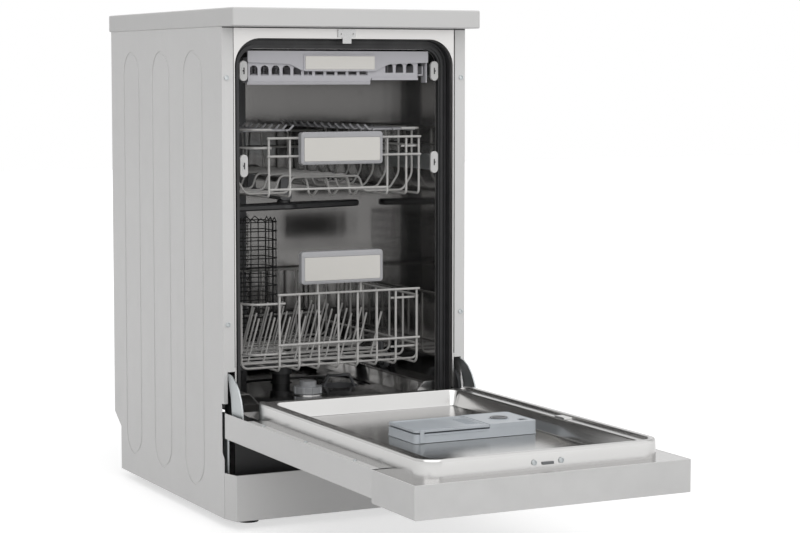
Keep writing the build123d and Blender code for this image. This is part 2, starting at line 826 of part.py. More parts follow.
def cable_gland():
    """Strain relief for the mains lead in the rear wall."""
    gland = rod_y(gland_x, base_rear - base_wall - 4, base_rear, service_height, gland_radius)
    gland += rod_y(gland_x, base_rear, base_rear + 4, service_height, gland_radius + 3)
    return gland - rod_y(gland_x, base_rear - 20, base_rear + 10, service_height, gland_bore)


def hinge_bracket():
    """Left hinge bracket: plate on the base, rounded nose and the hinge pin."""
    x0 = -hinge_bracket_x - hinge_bracket_plate
    x1 = -hinge_bracket_x
    r = hinge_nose_radius
    foot = base_floor_height + base_wall
    plate = plate_yz([(hinge_y, hinge_height - r), (hinge_y, hinge_height + r),
                      (cabinet_front + 34, hinge_height + r + 8), (cabinet_front + 60, foot),
                      (base_front + seat_gap, foot), (base_front + seat_gap, hinge_height - r)],
                     x0, x1)
    plate += rod_x(x0, x1, hinge_y, hinge_height, r)
    plate += block(x1, x1 + 14, base_front + 10, cabinet_front + 60, foot, foot + 3)
    pin = rod_x(x1 + 2, -hinge_arm_x - hinge_arm_plate - 1.5, hinge_y, hinge_height,
                hinge_pin_radius)
    return plate + pin


def hinge_brackets():
    """Both hinge brackets."""
    left = hinge_bracket()
    return Compound(children=[left, mirrored(left)])


def hinge_covers():
    """Black quarter-round guards between the tub frame and the hinge brackets."""
    x0 = -hinge_bracket_x + slip
    x1 = -half_width + flange_width
    front = cabinet_front + 10
    arc = [(front - 27 * sin(radians(a)), hinge_height + 35 + 37 * cos(radians(a)))
           for a in (0, 20, 40, 60, 80)]
    outline = arc + [(hinge_y + 18, hinge_height + 8), (hinge_y + 18, hinge_height - 12),
                     (front + 20, hinge_height - 12), (front + 20, hinge_height + 72)]
    left = plate_yz(outline, x0, x1)
    return Compound(children=[left, mirrored(left)])


def hinge_arm():
    """Left hinge arm: curved horn above the door, eye round the pin, leg along the skin."""
    x0 = -hinge_arm_x - hinge_arm_plate
    x1 = -hinge_arm_x
    top_y, top_z = hinge_y + 35, flange_cut_height - running_gap
    low_y = hinge_y - 29
    curve = [(top_y + (low_y - top_y) * sin(radians(a)),
              hinge_height + 14 + (top_z - hinge_height - 14) * cos(radians(a)))
             for a in range(0, 91, 15)]
    leg_end = hinge_y - hinge_arm_length
    outline = curve + [(low_y - 12, door_face + 22), (leg_end, door_face + 18),
                       (leg_end, door_face + steel), (hinge_y + 8, door_face + 3),
                       (hinge_y + 14, hinge_height), (hinge_y + 20, hinge_height + 50)]
    arm = plate_yz(outline, x0, x1)
    arm += block(-half_width + steel, x0, leg_end, low_y - 14, door_face + steel, door_face + 4)
    return arm - rod_x(x0 - 1, x1 + 1, hinge_y, hinge_height, hinge_pin_radius + pin_gap)


def hinge_arms():
    """Both hinge arms."""
    left = hinge_arm()
    return Compound(children=[left, mirrored(left)])


def door_springs():
    """Balance springs along the base, each with a hooked end on the hinge bracket."""
    x = -hinge_bracket_x + spring_radius + 8
    z = base_floor_height + base_wall + spring_radius + slip
    y0 = cabinet_front + 75
    spring = rod_y(x, y0, y0 + spring_length, z, spring_radius)
    for place in (y0 + 10, y0 + spring_length - 10):
        groove = rod_y(x, place - 1.5, place + 1.5, z, spring_radius + 1)
        spring -= groove - rod_y(x, place - 1.5, place + 1.5, z, spring_radius - 2)
    spring += block(x - 1, x + 1, y0 - 14, y0 + 3, z - spring_radius + 1, z + spring_radius - 1)
    return Compound(children=[spring, mirrored(spring)])


def door_outer_panel():
    """Door skin: shallow steel pan with rounded edges, folded top edges, open for the hinges."""
    skin = block(-half_width, half_width, panel_split, door_root, door_face, door_edge)
    skin = fillet(skin.faces().sort_by(Axis.Z)[0].edges().filter_by(Axis.Y), door_edge_radius)
    inner = block(-half_width + steel, half_width - steel, panel_split - 1, door_root - steel,
                  door_face + steel, door_edge - steel)
    mouth = block(-half_width + door_fold, half_width - door_fold, panel_split - 1,
                  door_root - steel, door_face + 10, door_edge + 1)
    skin -= inner + mouth
    swing = door_root - hinge_notch_length
    for side in (-1, 1):
        near, far = sorted((side * (mouth_half_width - 1), side * (half_width - steel)))
        skin -= block(near, far, swing, door_root + 1, door_face + steel, door_edge + 1)
    end_cut = block(-half_width + door_fold, half_width - door_fold, door_root - 2,
                    door_root + 1, door_edge - 2, door_edge + 1)
    return skin - end_cut


def control_panel():
    """Plastic fascia box at the door's tip, with a grip recess, button holes and board posts."""
    half = half_width + control_panel_side
    box = block(-half, half, door_tip, panel_split, control_face, door_edge - steel)
    box = fillet(box.faces().sort_by(Axis.Z)[0].edges().filter_by(Axis.X)[:1], 4)
    box = fillet(box.edges().filter_by(Axis.Z), 2.0)
    w = plastic_wall
    box -= block(-half + w, half - w, door_tip + w, panel_split - w, control_face + w, door_edge)
    box -= block(-half + w, half - w, panel_split - w - 1, panel_split + 1, door_face + w,
                 door_edge)
    grip_front = door_tip + 14
    shell = block(-grip_width / 2 - w, grip_width / 2 + w, grip_front - w,
                  grip_front + grip_height + w, control_face, control_face + grip_depth + w)
    pocket = block(-grip_width / 2, grip_width / 2, grip_front, grip_front + grip_height,
                   control_face - 1, control_face + grip_depth)
    pocket = fillet(pocket.edges().filter_by(Axis.Z), 10)
    box += shell
    box -= pocket
    for x, y in button_places():
        box -= post(x, y, control_face - 1, control_face + w + 1, button_radius + slip)
    box -= block(105, 170, door_tip + 30, door_tip + 55, control_face - 1, control_face + 0.8)
    for x in (-200, -120):
        for y in (door_tip + 20, door_tip + 100):
            box += post(x, y, control_face + w, control_face + w + 9, 3)
    return box


def button_places():
    """Centres of the control buttons on the panel's face."""
    y = door_tip + 62
    return [(-185, y), (-140, y), (190, y)]


def button(index):
    """One sprung button: proud cap, collar inside the panel."""
    x, y = button_places()[index]
    cap = post(x, y, control_face - button_proud, control_face + button_length, button_radius)
    cap += post(x, y, control_face + plastic_wall + 1 + slip, control_face + button_length,
                button_radius + 1.5)
    return chamfer(cap.faces().sort_by(Axis.Z)[0].edges(), 0.6)


def control_board():
    """Circuit board on the panel's posts with its relay and transformer."""
    z = control_face + plastic_wall + 9
    y = door_tip + 10
    board = block(-208, -110, y, y + 100, z, z + 1.6)
    board += block(-200, -180, y + 10, y + 38, z + 1.6, z + 17)
    board += block(-160, -140, y + 12, y + 30, z + 1.6, z + 15)
    board += block(-200, -120, y + 86, y + 94, z + 1.6, z + 10)
    return board


def liner_loft(half_low, half_high, root_low, root_high, tip_low, tip_high, z0, z1, corner):
    """Tapered block with rounded corners between two levels of the door liner."""
    def level(half, root, tip, z):
        return Pos(0, (root + tip) / 2, z) * RectangleRounded(2 * half, root - tip, corner)
    return loft(Sketch() + [level(half_low, root_low, tip_low, z0),
                            level(half_high, root_high, tip_high, z1)])


def door_liner():
    """Pressed steel inner door: flange, raised rim, wheel ledges and the sunken tray."""
    t = liner_steel
    low, high = liner_flange, liner_rim
    half, root, tip = liner_half_width, liner_root, liner_tip
    flange_edge = half_width + control_panel_side - plastic_wall - slip
    liner = block(-flange_edge, flange_edge, door_tip + plastic_wall + slip,
                  door_root - steel - slip, low, low + t)
    for side in (-1, 1):
        near, far = sorted((side * hinge_notch_inner, side * half_width))
        liner -= block(near, far, door_root - hinge_notch_length, door_root, low - 1, low + t + 1)
    outer = liner_loft(half + 1, half, root + 1, root, tip - 1, tip, low, high, liner_corner)
    liner += outer
    liner -= liner_loft(half + 1 - t, half - t, root + 1 - t, root - t, tip - 1 + t, tip + t,
                        low - 1, high - t, liner_corner - t)
    rim = liner_rim_width
    ledge = rim + liner_ledge_width
    past = root + liner_corner
    well = liner_loft(half - ledge - liner_draft + t, half - ledge + t,
                      root - rim - 3 - liner_draft + t, root - rim - 3 + t,
                      tip + rim + 3 + liner_draft - t, tip + rim + 3 - t,
                      tray_floor - t, liner_ledge, well_corner)
    step = liner_loft(half - rim + t, half - rim + t, past, past, tip + rim - t, tip + rim - t,
                      liner_ledge - t, high, liner_corner - rim)
    liner += well + (step & outer)
    liner -= liner_loft(half - ledge - liner_draft, half - ledge,
                        root - rim - 3 - liner_draft, root - rim - 3,
                        tip + rim + 3 + liner_draft, tip + rim + 3,
                        tray_floor, liner_ledge, well_corner - t)
    liner -= liner_loft(half - rim, half - rim, past, past, tip + rim, tip + rim,
                        liner_ledge, high + 1, liner_corner - rim - t)
    liner -= block(-12, 12, tip - 2, tip + 4, low + 6, low + 18)
    stop = block(half - ledge + 1, half - rim - 1, stop_y, stop_y + stop_length, liner_ledge,
                 liner_ledge + stop_height)
    return Compound(children=[*cut_into(liner, liner_regions()).solids(), stop])


def liner_regions():
    """Regions of the door liner: flange, rims, ledges, and the tray's floor, walls, corners."""
    half, rim, top = liner_half_width, liner_rim_width, liner_rim + 1
    flat = liner_flange + liner_steel
    base = tray_floor - liner_steel - 1
    wall, ledge = half - rim, half - rim - liner_ledge_width
    root, tip = liner_root - rim - 3, liner_tip + rim + 3
    notch = door_root - hinge_notch_length
    turn = half - liner_corner / 3
    front, rear = door_tip - 1, door_root + 1
    bend = liner_tip + liner_corner + 1
    corner = ledge - well_corner
    sides = [block(-half_width, -turn, front, notch, base, flat),
             block(-hinge_notch_inner, -turn, notch, rear, base, flat),
             block(-half_width, -wall, front, rear, flat, top),
             block(-wall, -ledge, front, bend, flat, top),
             block(-wall, -ledge, bend, root, flat, top),
             block(-ledge, -corner, bend + 10, root - well_corner, tray_floor, top),
             block(-ledge, -corner, tip, bend + 10, tray_floor, top),
             block(-ledge, -corner, root - well_corner, root, tray_floor, top)]
    middle = [block(-turn, turn, front, tip - 2, base, flat),
              block(-turn, turn, root, rear, base, flat),
              block(-ledge, ledge, front, tip, flat, top),
              block(-wall, wall, root, rear, flat, top),
              block(-ledge, ledge, tip - 2, root, base, tray_floor),
              block(-corner, corner, tip, tip + well_corner, tray_floor, top),
              block(-corner, corner, root - well_corner, root, tray_floor, top)]
    return middle + sides + [mirrored(side) for side in sides]


def door_lock():
    """Lock behind the slot in the liner's end wall, with its latch tab."""
    y0 = liner_tip + liner_steel + slip
    body = block(-30, 30, y0, y0 + 8, control_face + grip_depth + plastic_wall + slip,
                 liner_rim - 8)
    tab = block(-9, 9, liner_tip - 3.5, y0, liner_flange + 8, liner_flange + 12)
    return body + tab


def door_screws():
    """Screws along the folded edges of the skin and beside the lock slot."""
    screws = []
    for x in (-half_width + 6, half_width - 6):
        for y in (-730.0, -560.0, -400.0):
            screws.append(post(x, y, door_edge, door_edge + 1.6, 3.0))
    for x in (-22, 22):
        screws.append(rod_y(x, liner_tip - 2.6, liner_tip - 0.8, liner_flange + 12, 4.0))
    return Compound(children=screws)


def dispenser_frame(grow=0.0):
    """Corners of the dispenser's body, seen from above."""
    return (dispenser_x - dispenser_width / 2 - grow, dispenser_x + dispenser_width / 2 + grow,
            dispenser_y - dispenser_depth / 2 - grow, dispenser_y + dispenser_depth / 2 + grow)


def dispenser_body():
    """Detergent and rinse-aid housing: chamber for the tablet, guide post and dial seat."""
    x0, x1, y0, y1 = dispenser_frame()
    z0, z1 = tray_floor + slip, tray_floor + dispenser_height
    lid_end = x0 + dispenser_lid_share
    body = block(x0, x1, y0, y1, z0, z1)
    body = fillet(body.edges().filter_by(Axis.Z), 7)
    body = chamfer(body.faces().sort_by(Axis.Z)[-1].edges(), 1.5)
    lid_floor = z1 - dispenser_lid_thickness
    body -= block(x0 - 1, lid_end + slip, y0 - 1, y1 + 1, lid_floor, z1 + 1)
    chamber = block(x0 + 12, lid_end - 14, y0 + 14, y1 - 14, z0 + 2, lid_floor + 1)
    body -= fillet(chamber.edges().filter_by(Axis.Z), 8)
    for y in (y0, y1 - 2.5):
        body += block(x0 + 64, lid_end, y, y + 2.5, lid_floor, lid_floor + 2)
    body -= post(dial_x, dispenser_y, z1 - 5, z1 + 1, dial_radius + slip)
    return body


def dispenser_lid():
    """Sliding lid over the detergent chamber, rounded at its free end."""
    x0, x1, y0, y1 = dispenser_frame()
    z1 = tray_floor + dispenser_height
    low = z1 - dispenser_lid_thickness + 2 + slip
    lid = block(x0, x0 + dispenser_lid_share - slip, y0, y1, low, z1)
    ends = lid.edges().filter_by(Axis.Z).group_by(Axis.X)[0]
    lid = fillet(ends, 7)
    lid = chamfer(lid.faces().sort_by(Axis.Z)[-1].edges(), 1.5)
    for y in (y0 + 2.5 + slip, y1 - 5.5 - slip):
        lid += block(x0 + 14, x0 + dispenser_lid_share - 4, y, y + 3,
                     low - 2, low)
    return lid


def rinse_aid_dial():
    """Rinse-aid dial with a raised grip."""
    z1 = tray_floor + dispenser_height
    dial = post(dial_x, dispenser_y, z1 - 5 + slip, z1 - 0.5, dial_radius)
    grip = [(dial_x - 11, dispenser_y - 3), (dial_x + 4, dispenser_y - 5),
            (dial_x + 11, dispenser_y), (dial_x + 4, dispenser_y + 5),
            (dial_x - 11, dispenser_y + 3)]
    return dial + plate_xy(grip, z1 - 0.5, z1 + 2.5)


def lengthwise_wires(places, floor, front_top, rear_top):
    """Wires that run down the front, along the floor and up the rear of a rack."""
    wires = Part()
    for x in places:
        points = [(rack_front, front_top), (rack_front, floor), (rack_rear, floor),
                  (rack_rear, rear_top)]
        wires += wire_yz(points, x)
    return wires


def cross_wires(places, profile):
    """Wires of one (x, z) profile that run across a rack at several depths."""
    wires = Part()
    for y in places:
        wires += wire_xz(profile, y)
    return wires


def side_loop(level, reach_left, reach_right, size=wire):
    """Side wires that wrap round both front corners of a rack."""
    edge = rack_edge
    front = rack_front + wire * 0.9
    turn = edge - loop_corner_width
    bend = front + loop_corner_depth
    left = [(-reach_left, front), (-turn, front), (-edge, bend), (-edge, rack_rear)]
    right = [(reach_right, front), (turn, front), (edge, bend), (edge, rack_rear)]
    return wire_xy(left, level, size) + wire_xy(right, level, size)


def handle_posts(bottom, top):
    """Uprights that carry a rack's handle."""
    post_left = block(-40 - wire / 2, -40 + wire / 2, rack_front - wire * 1.3,
                      rack_front - wire * 0.3, bottom, top)
    return post_left + mirrored(post_left)


def rack_walls(low, high, front_cut, rear_cut):
    """Regions of a rack's front, rear, side walls and front corners between two levels."""
    out = tub_half_width
    turn = rack_edge - loop_corner_width - wire - seat_gap
    bend = rack_front + wire + loop_corner_depth
    front, rear = rack_front - handle_reach, tub_back
    left_corner = block(-out, -turn, front, bend, low, high)
    left_side = block(-out, -turn, bend, rear, low, high)
    return [block(-turn, turn, front, front_cut, low, high),
            block(-turn, turn, rear_cut, rear, low, high), left_corner, mirrored(left_corner),
            left_side, mirrored(left_side)]


def lower_basket():
    """Lower rack of welded wire: bent floor wires, rims, side wraps and wheel brackets."""
    edge = rack_edge
    over = lower_floor + wire * 0.9
    side_top = lower_rim - side_wire_drop
    rack = lengthwise_wires((-108, -72, -36, 0, 36, 72, 108, 148), lower_floor, lower_rim,
                            lower_rim)
    profile = [(-edge, side_top), (-edge, over), (edge, over), (edge, side_top)]
    rack += cross_wires(spread(rack_front + 30, rack_rear - last_wire_gap, 8), profile)
    for level in (lower_rim, lower_mid):
        rack += block(-112, 152, rack_front - wire * 1.3, rack_front - wire * 0.3,
                      level - wire / 2, level + wire / 2)
        rack += block(-edge, edge, rack_rear + wire * 0.3, rack_rear + wire * 1.3,
                      level - wire / 2, level + wire / 2)
        rack += side_loop(level - side_wire_drop, 96, 100)
    rack += handle_posts(lower_rim, lower_rim + 55)
    floor_top = over + wire / 2 + seat_gap
    rim_top = lower_rim + wire / 2 + seat_gap
    out, rear_cut = tub_half_width, rack_rear - wire - seat_gap
    walls = rack_walls(floor_top, rim_top, rack_front + 2 * wire, rear_cut)
    floor = block(-out, out, rack_front - handle_reach, tub_back, lower_floor - wire, floor_top)
    posts = block(-out, out, rack_front - handle_reach, 0, rim_top, rim_top + handle_height)
    pieces = cut_into(rack, [floor, posts] + walls).children
    return Compound(children=list(pieces) + wheel_brackets())


def wheel_brackets():
    """Brackets welded to the lower rack's sides, each with a wheel's axle."""
    hub_level = ledge_level + slip + wheel_radius
    brackets = []
    for y in (wheel_front_y, wheel_rear_y):
        bracket = block(rack_half_width, wheel_x - wheel_width / 2 - slip, y - 9, y + 9,
                        hub_level - 7, lower_floor + 14)
        bracket += rod_x(rack_half_width, wheel_x + wheel_width / 2, y, hub_level, axle_radius)
        brackets += [bracket, mirrored(bracket)]
    return brackets


def tine_row(y, level):
    """One row of leaning plate tines on its bar, as a comb."""
    count = int(2 * (rack_half_width - 24) / tine_pitch)
    first = -tine_pitch * (count - 1) / 2
    shift = tine_height * sin(radians(tine_lean))
    comb = block(-rack_half_width + 10, rack_half_width - 10, y - wire / 2, y + wire / 2,
                 level, level + wire)
    for i in range(count):
        x = first + i * tine_pitch
        points = [(x - shift / 2, level + wire / 2), (x + shift / 2, level + tine_height)]
        comb += wire_xz(points, y, wire * 0.85)
    return comb


def lower_basket_tines():
    """Rows of plate tines on the lower rack's floor, each row a bar and its tines."""
    level = lower_floor + wire / 2 + seat_gap
    out, bar_top = rack_half_width, level + wire + seat_gap
    solids = []
    for y in tine_rows:
        low = block(-out, out, y - wire, y + wire, level - wire, bar_top)
        high = block(-out, out, y - wire, y + wire, bar_top, level + 2 * tine_height)
        solids += cut_into(tine_row(y, level), [low, high]).children
    return Compound(children=solids)


def basket_handle(middle):
    """Moulded pull: hollow behind, with a shallow seat for its plate."""
    half, tall = handle_width / 2, handle_height / 2
    back = rack_front - wire * 1.3 - slip
    front = rack_front - slip - handle_reach
    frame = block(-half, half, front, back, middle - tall, middle + tall)
    frame = fillet(frame.edges().filter_by(Axis.Y), 4)
    frame -= block(-half + 3, half - 3, front + 4, back + 1, middle - tall + 3,
                   middle + tall - 3)
    return frame - handle_seat(middle, 0.0)


def handle_seat(middle, gap):
    """Space of the plate let into a rack's pull."""
    front = rack_front - slip - handle_reach
    return block(-handle_width / 2 + 5 + gap, handle_width / 2 - 5 - gap, front - 1 + gap * 5,
                 front + 1.5 - gap, middle - handle_height / 2 + 5 + gap,
                 middle + handle_height / 2 - 9 - gap)


def upper_basket():
    """Upper rack: stepped floor wires, rims, side wraps, slide brackets and the feed tube."""
    edge = rack_edge
    over = upper_floor + wire * 0.9
    side_top = upper_rim + 15
    rack = lengthwise_wires((-126, -88, 92, 128, 152), upper_floor, upper_rim, upper_rim)
    hump = upper_floor + hump_height
    for x in (-38, 0, 38):
        points = [(rack_front, upper_floor + 12), (rack_front + 16, upper_floor),
                  (rack_front + 34, upper_floor), (rack_front + 42, hump),
                  (rack_rear - 12, hump), (rack_rear, upper_rim)]
        rack += wire_yz(points, x)
    profile = [(-edge, side_top), (-edge, over + 26), (-edge + 18, over), (-hump_half_width - 10,
               over), (-hump_half_width, hump + wire * 0.9), (hump_half_width,
               hump + wire * 0.9), (hump_half_width + 10, over), (edge - 18, over),
               (edge, over + 26), (edge, side_top)]
    rack += cross_wires(spread(rack_front + 50, rack_rear - last_wire_gap, 8), profile)
    for level in (upper_rim, upper_mid):
        rack += block(-130, 154, rack_front - wire * 1.3, rack_front - wire * 0.3,
                      level - wire / 2, level + wire / 2)
        rack += block(-edge, edge, rack_rear + wire * 0.3, rack_rear + wire * 1.3,
                      level - wire / 2, level + wire / 2)
        rack += side_loop(level + 14, 120, 120)
    rack += block(-126, 92, rack_front - wire / 2, rack_front + wire / 2,
                  upper_floor + 10, upper_floor + 10 + wire)
    low, high = upper_floor - wire, shelf_level + 2 * wire
    front_cut, rear_cut = rack_front + 2 * wire, rack_rear - last_wire_gap - 2.5
    walls = rack_walls(low, high, front_cut, rear_cut)
    turn = rack_edge - loop_corner_width - wire - seat_gap
    step = hump_half_width + 5
    left_floor = block(-turn, -step, front_cut, rear_cut, low, high)
    middle = block(-step, step, front_cut, rear_cut, low, high)
    pieces = cut_into(rack, walls + [left_floor, middle, mirrored(left_floor)]).children
    glides = rack_glides(upper_rail_middle, upper_rail_height, rack_half_width)
    return Compound(children=list(pieces) + glides + shelf_eyes() + [feed_tube(hump)])


def feed_tube(hump):
    """Water tube under the upper rack, with the two straps that hang it on the floor wires."""
    low = upper_arm_level + arm_thickness + 5 + slip
    tube = block(-feed_tube_half, feed_tube_half, upper_hub_y - feed_strap_depth,
                 rack_rear + feed_tube_end, low, low + feed_tube_height)
    for y in (upper_hub_y, rack_rear - feed_strap_gap):
        tube += block(-feed_strap_half, feed_strap_half, y - feed_strap_depth / 2,
                      y + feed_strap_depth / 2, low + feed_tube_height - 2, hump - wire / 2)
    return tube


def shelf_places():
    """Depths of the cup shelves' ribs."""
    return spread(shelf_front + 6, shelf_front + shelf_length - 6, 13)


def shelf_eyes():
    """Clips on the upper rack's sides that the cup shelves' rods turn in."""
    ribs = shelf_places()
    eyes = []
    for i in (0, 5, 11):
        y = (ribs[i] + ribs[i + 1]) / 2
        half = shelf_eye / 2
        eye = block(shelf_hinge_x - half, rack_half_width - wire, y - half, y + half,
                    shelf_level - half, shelf_level + half)
        eye -= rod_y(shelf_hinge_x, y - half - 1, y + half + 1, shelf_level,
                     shelf_bar / 2 + pin_gap)
        eyes += [eye, mirrored(eye)]
    return eyes


def rack_glides(middle, height, start):
    """Side plates of a rack with the glides that run in the rails."""
    glides = []
    neck = height / 2 - rail_sheet - rail_lip - 0.8
    head = height / 2 - rail_sheet - slip
    web = (rail_x_inner + rail_x_outer) / 2 - rail_sheet / 2
    for side in (-1, 1):
        for y in rack_glide_y:
            a, b = sorted((side * start, side * (rail_x_inner - 1)))
            glide = block(a, b, y - 20, y + 20, middle - height / 2, middle + height / 2)
            a, b = sorted((side * start, side * (rail_x_inner + rail_sheet + slip)))
            glide += block(a, b, y - 11, y + 11, middle - neck, middle + neck)
            a, b = sorted((side * (rail_x_inner + rail_sheet + slip), side * (web - slip)))
            glide += block(a, b, y - 11, y + 11, middle - head, middle + head)
            glides.append(glide)
    return glides


def wall_glides():
    """Glides on the tub walls that carry the rails of the upper rack and the tray."""
    glides = []
    web = (rail_x_inner + rail_x_outer) / 2 + rail_sheet / 2
    for middle, height in ((upper_rail_middle, upper_rail_height),
                           (tray_rail_middle, tray_rail_height)):
        neck = height / 2 - rail_sheet - rail_lip - 0.8
        head = height / 2 - rail_sheet - slip
        for y in wall_glide_y:
            y0, y1 = (y - glide_length / 2 + 3, y + glide_length / 2)
            glide = block(web + slip, rail_x_outer - rail_sheet - slip, y0, y1,
                          middle - head, middle + head)
            glide += block(web + slip, tub_half_width, y0, y1, middle - neck, middle + neck)
            glides += [glide, mirrored(glide)]
    return Compound(children=glides)


def rail_pair(middle, height):
    """Two back-to-back channel rails with a capped front end, one on each side."""
    low, high = middle - height / 2, middle + height / 2
    web = (rail_x_inner + rail_x_outer) / 2
    rail = block(web - rail_sheet / 2, web + rail_sheet / 2, rail_front, rail_rear, low, high)
    for level in (low, high - rail_sheet):
        rail += block(rail_x_inner, rail_x_outer, rail_front, rail_rear,
                      level, level + rail_sheet)
    for x in (rail_x_inner, rail_x_outer - rail_sheet):
        rail += block(x, x + rail_sheet, rail_front, rail_rear, low, low + rail_sheet + rail_lip)
        rail += block(x, x + rail_sheet, rail_front, rail_rear, high - rail_sheet - rail_lip,
                      high)
    outline = Plane((web, rail_front, middle), x_dir=(0, 0, 1), z_dir=(0, -1, 0))
    cap = extrude(outline * SlotOverall(height + 10, rail_x_outer - rail_x_inner),
                  amount=rail_cap_depth)
    window = extrude(outline * Rectangle(height * 0.34, 3.6), amount=rail_cap_depth + 1)
    right = rail + cap - window
    return Compound(children=[right, mirrored(right)])


def cup_shelf_right():
    """Folding cup shelf: hinge rod, two long bars, and ribs that end in upturned tips."""
    inner = shelf_hinge_x - shelf_width
    rear = shelf_front + shelf_length
    bar = shelf_bar
    shelf = rod_y(shelf_hinge_x, shelf_front, rear, shelf_level, bar / 2)
    for share in (0.42, 0.84):
        x = shelf_hinge_x - shelf_width * share
        shelf += block(x - bar / 2, x + bar / 2, shelf_front, rear,
                       shelf_level - bar / 2, shelf_level + bar / 2)
    for y in shelf_places():
        points = [(shelf_hinge_x, shelf_level), (inner + 8, shelf_level), (inner, shelf_level + 9)]
        shelf += wire_xz(points, y, bar * 0.8)
    return shelf


def cup_shelf_left():
    """Cup shelf on the other side."""
    return mirrored(cup_shelf_right())


def arch_hole(x, low):
    """Arched window in the tray's front bar."""
    straight = arch_height - arch_width / 2
    hole = block(x - arch_width / 2, x + arch_width / 2, rack_front - tray_bar_depth - 1,
                 rack_front + 1, low, low + straight)
    return hole + rod_y(x, rack_front - tray_bar_depth - 1, rack_front + 1, low + straight,
                        arch_width / 2)


def tray_comb(row):
    """Right comb of cutlery tines, standing on one cross rib of the tray's floor."""
    seat = tray_floor_level + tray_lattice
    depth = rack_rear - rack_front
    y = rack_front + tray_rib / 2 + row * (depth - tray_rib) / tray_rows
    places = spread(tray_divider + 8, tray_half_width - 10, 9)
    comb = block(places[0] - 1, places[-1] + 1, y - 2, y + 2, seat, seat + 2)
    for x in places:
        comb += block(x - 1, x + 1, y - 2, y + 2, seat, tray_wall_top + 4)
    return comb


def tray_bar():
    """Front bar of the tray: arches at both ends, square holes and the pull in the middle."""
    half, front = tray_half_width, rack_front
    bar = block(-half - 6, half + 6, front - tray_bar_depth, front, tray_bar_bottom,
                tray_bar_top)
    bar -= block(-half - 2, half + 2, front - tray_bar_depth + 3, front + 1,
                 tray_bar_bottom + 28, tray_bar_top - 3)
    for i in range(arch_count):
        x = half - 10 - i * arch_pitch
        bar -= arch_hole(x, tray_bar_bottom + 10) + arch_hole(-x, tray_bar_bottom + 10)
    for x in spread(-44, 44, 5):
        bar -= block(x - 7, x + 7, front - tray_bar_depth - 1, front + 1,
                     tray_bar_bottom + 6, tray_bar_bottom + 18)
    bar += block(-tray_plate_width / 2 - 4, tray_plate_width / 2 + 4,
                 front - tray_bar_depth - 2, front - tray_bar_depth, tray_bar_bottom + 20,
                 tray_bar_top)
    return bar - tray_plate_space(0.0)


def cutlery_tray():
    """Cutlery tray: slotted floor, low walls and combs on it, front bar, and slides."""
    half, front = tray_half_width, rack_front
    seat, top = tray_floor_level + tray_lattice, tray_wall_top
    depth = rack_rear - front
    floor = Pos(0, (rack_rear + front) / 2, tray_floor_level) * lattice(
        2 * half, depth, 8, tray_rows, tray_rib, tray_lattice)
    solids = [floor, tray_bar(), block(-half + 2, half - 2, rack_rear - 2, rack_rear, seat, top)]
    for wall in (block(half - 2, half, front, rack_rear, seat, top),
                 block(tray_divider, tray_divider + 2, front, rack_rear - 2, seat, top - 4),
                 tray_comb(2), tray_comb(4), tray_comb(6)):
        solids += [wall, mirrored(wall)]
    return Compound(children=solids + rack_glides(tray_rail_middle, tray_rail_height, half))


def tray_plate_space(gap):
    """Space of the plate let into the tray's pull."""
    front = rack_front - tray_bar_depth - 2
    middle = tray_bar_bottom + 36
    return block(-tray_plate_width / 2 + gap, tray_plate_width / 2 - gap, front - 1 + gap * 5,
                 front + 1.2 - gap, middle - tray_plate_height / 2 + gap,
                 middle + tray_plate_height / 2 - gap)


def lattice(width, height, columns, rows, bar, thickness):
    """Flat grille with square-cornered windows, centred on the origin."""
    step_x = (width - bar) / columns
    step_z = (height - bar) / rows
    windows = [Pos(-width / 2 + bar / 2 + step_x * (i + 0.5),
                   -height / 2 + bar / 2 + step_z * (j + 0.5))
               * Rectangle(step_x - bar, step_z - bar)
               for i in range(columns) for j in range(rows)]
    return extrude(Rectangle(width, height) - windows, amount=thickness)


def cutlery_basket():
    """Tall lattice basket for cutlery, open at the top, with a zigzag rim."""
    x0, x1 = basket_left, basket_left + basket_width
    y0, y1 = basket_front, basket_front + basket_depth
    z0 = lower_floor + wire * 1.4 + slip
    z1 = z0 + basket_height
    middle_x, middle_y, middle_z = (x0 + x1) / 2, (y0 + y1) / 2, (z0 + z1) / 2
    wide = lattice(basket_width, basket_height, 6, 7, 4, basket_wall)
    deep = lattice(basket_depth, basket_height, 3, 7, 4, basket_wall)
    across = Plane((middle_x, y0 + basket_wall, middle_z), x_dir=(1, 0, 0), z_dir=(0, -1, 0))
    rear = Plane((middle_x, y1, middle_z), x_dir=(1, 0, 0), z_dir=(0, -1, 0))
    left = Plane((x0, middle_y, middle_z), x_dir=(0, 1, 0), z_dir=(1, 0, 0))
    right = Plane((x1 - basket_wall, middle_y, middle_z), x_dir=(0, 1, 0), z_dir=(1, 0, 0))
    basket = across * wide + rear * wide + left * deep + right * deep
    floor = lattice(basket_width, basket_depth, 5, 3, 5, basket_wall)
    basket += Pos(middle_x, middle_y, z0) * floor
    for y in (y0, y1 - basket_wall):
        teeth = []
        count = 7
        for i in range(count):
            a = x0 + basket_width * i / count
            b = x0 + basket_width * (i + 1) / count
            teeth += [(a, z1 - 1), ((a + b) / 2, z1 + 8)]
        outline = teeth + [(x1, z1 - 1), (x1, z1 - 3), (x0, z1 - 3)]
        basket += plate_xz(outline, y, y + basket_wall)
    wall, top = basket_wall + seat_gap, z1 + 2 * basket_wall + 8
    front = block(x0, x1, y0, y0 + wall, z0, top)
    back = block(x0, x1, y1 - wall, y1, z0, top)
    ends = [block(x0, x0 + wall, y0 + wall, y1 - wall, z0, top),
            block(x1 - wall, x1, y0 + wall, y1 - wall, z0, top)]
    base = block(x0 + wall, x1 - wall, y0 + wall, y1 - wall, z0, z0 + basket_wall)
    return cut_into(basket, [front, back, base] + ends)


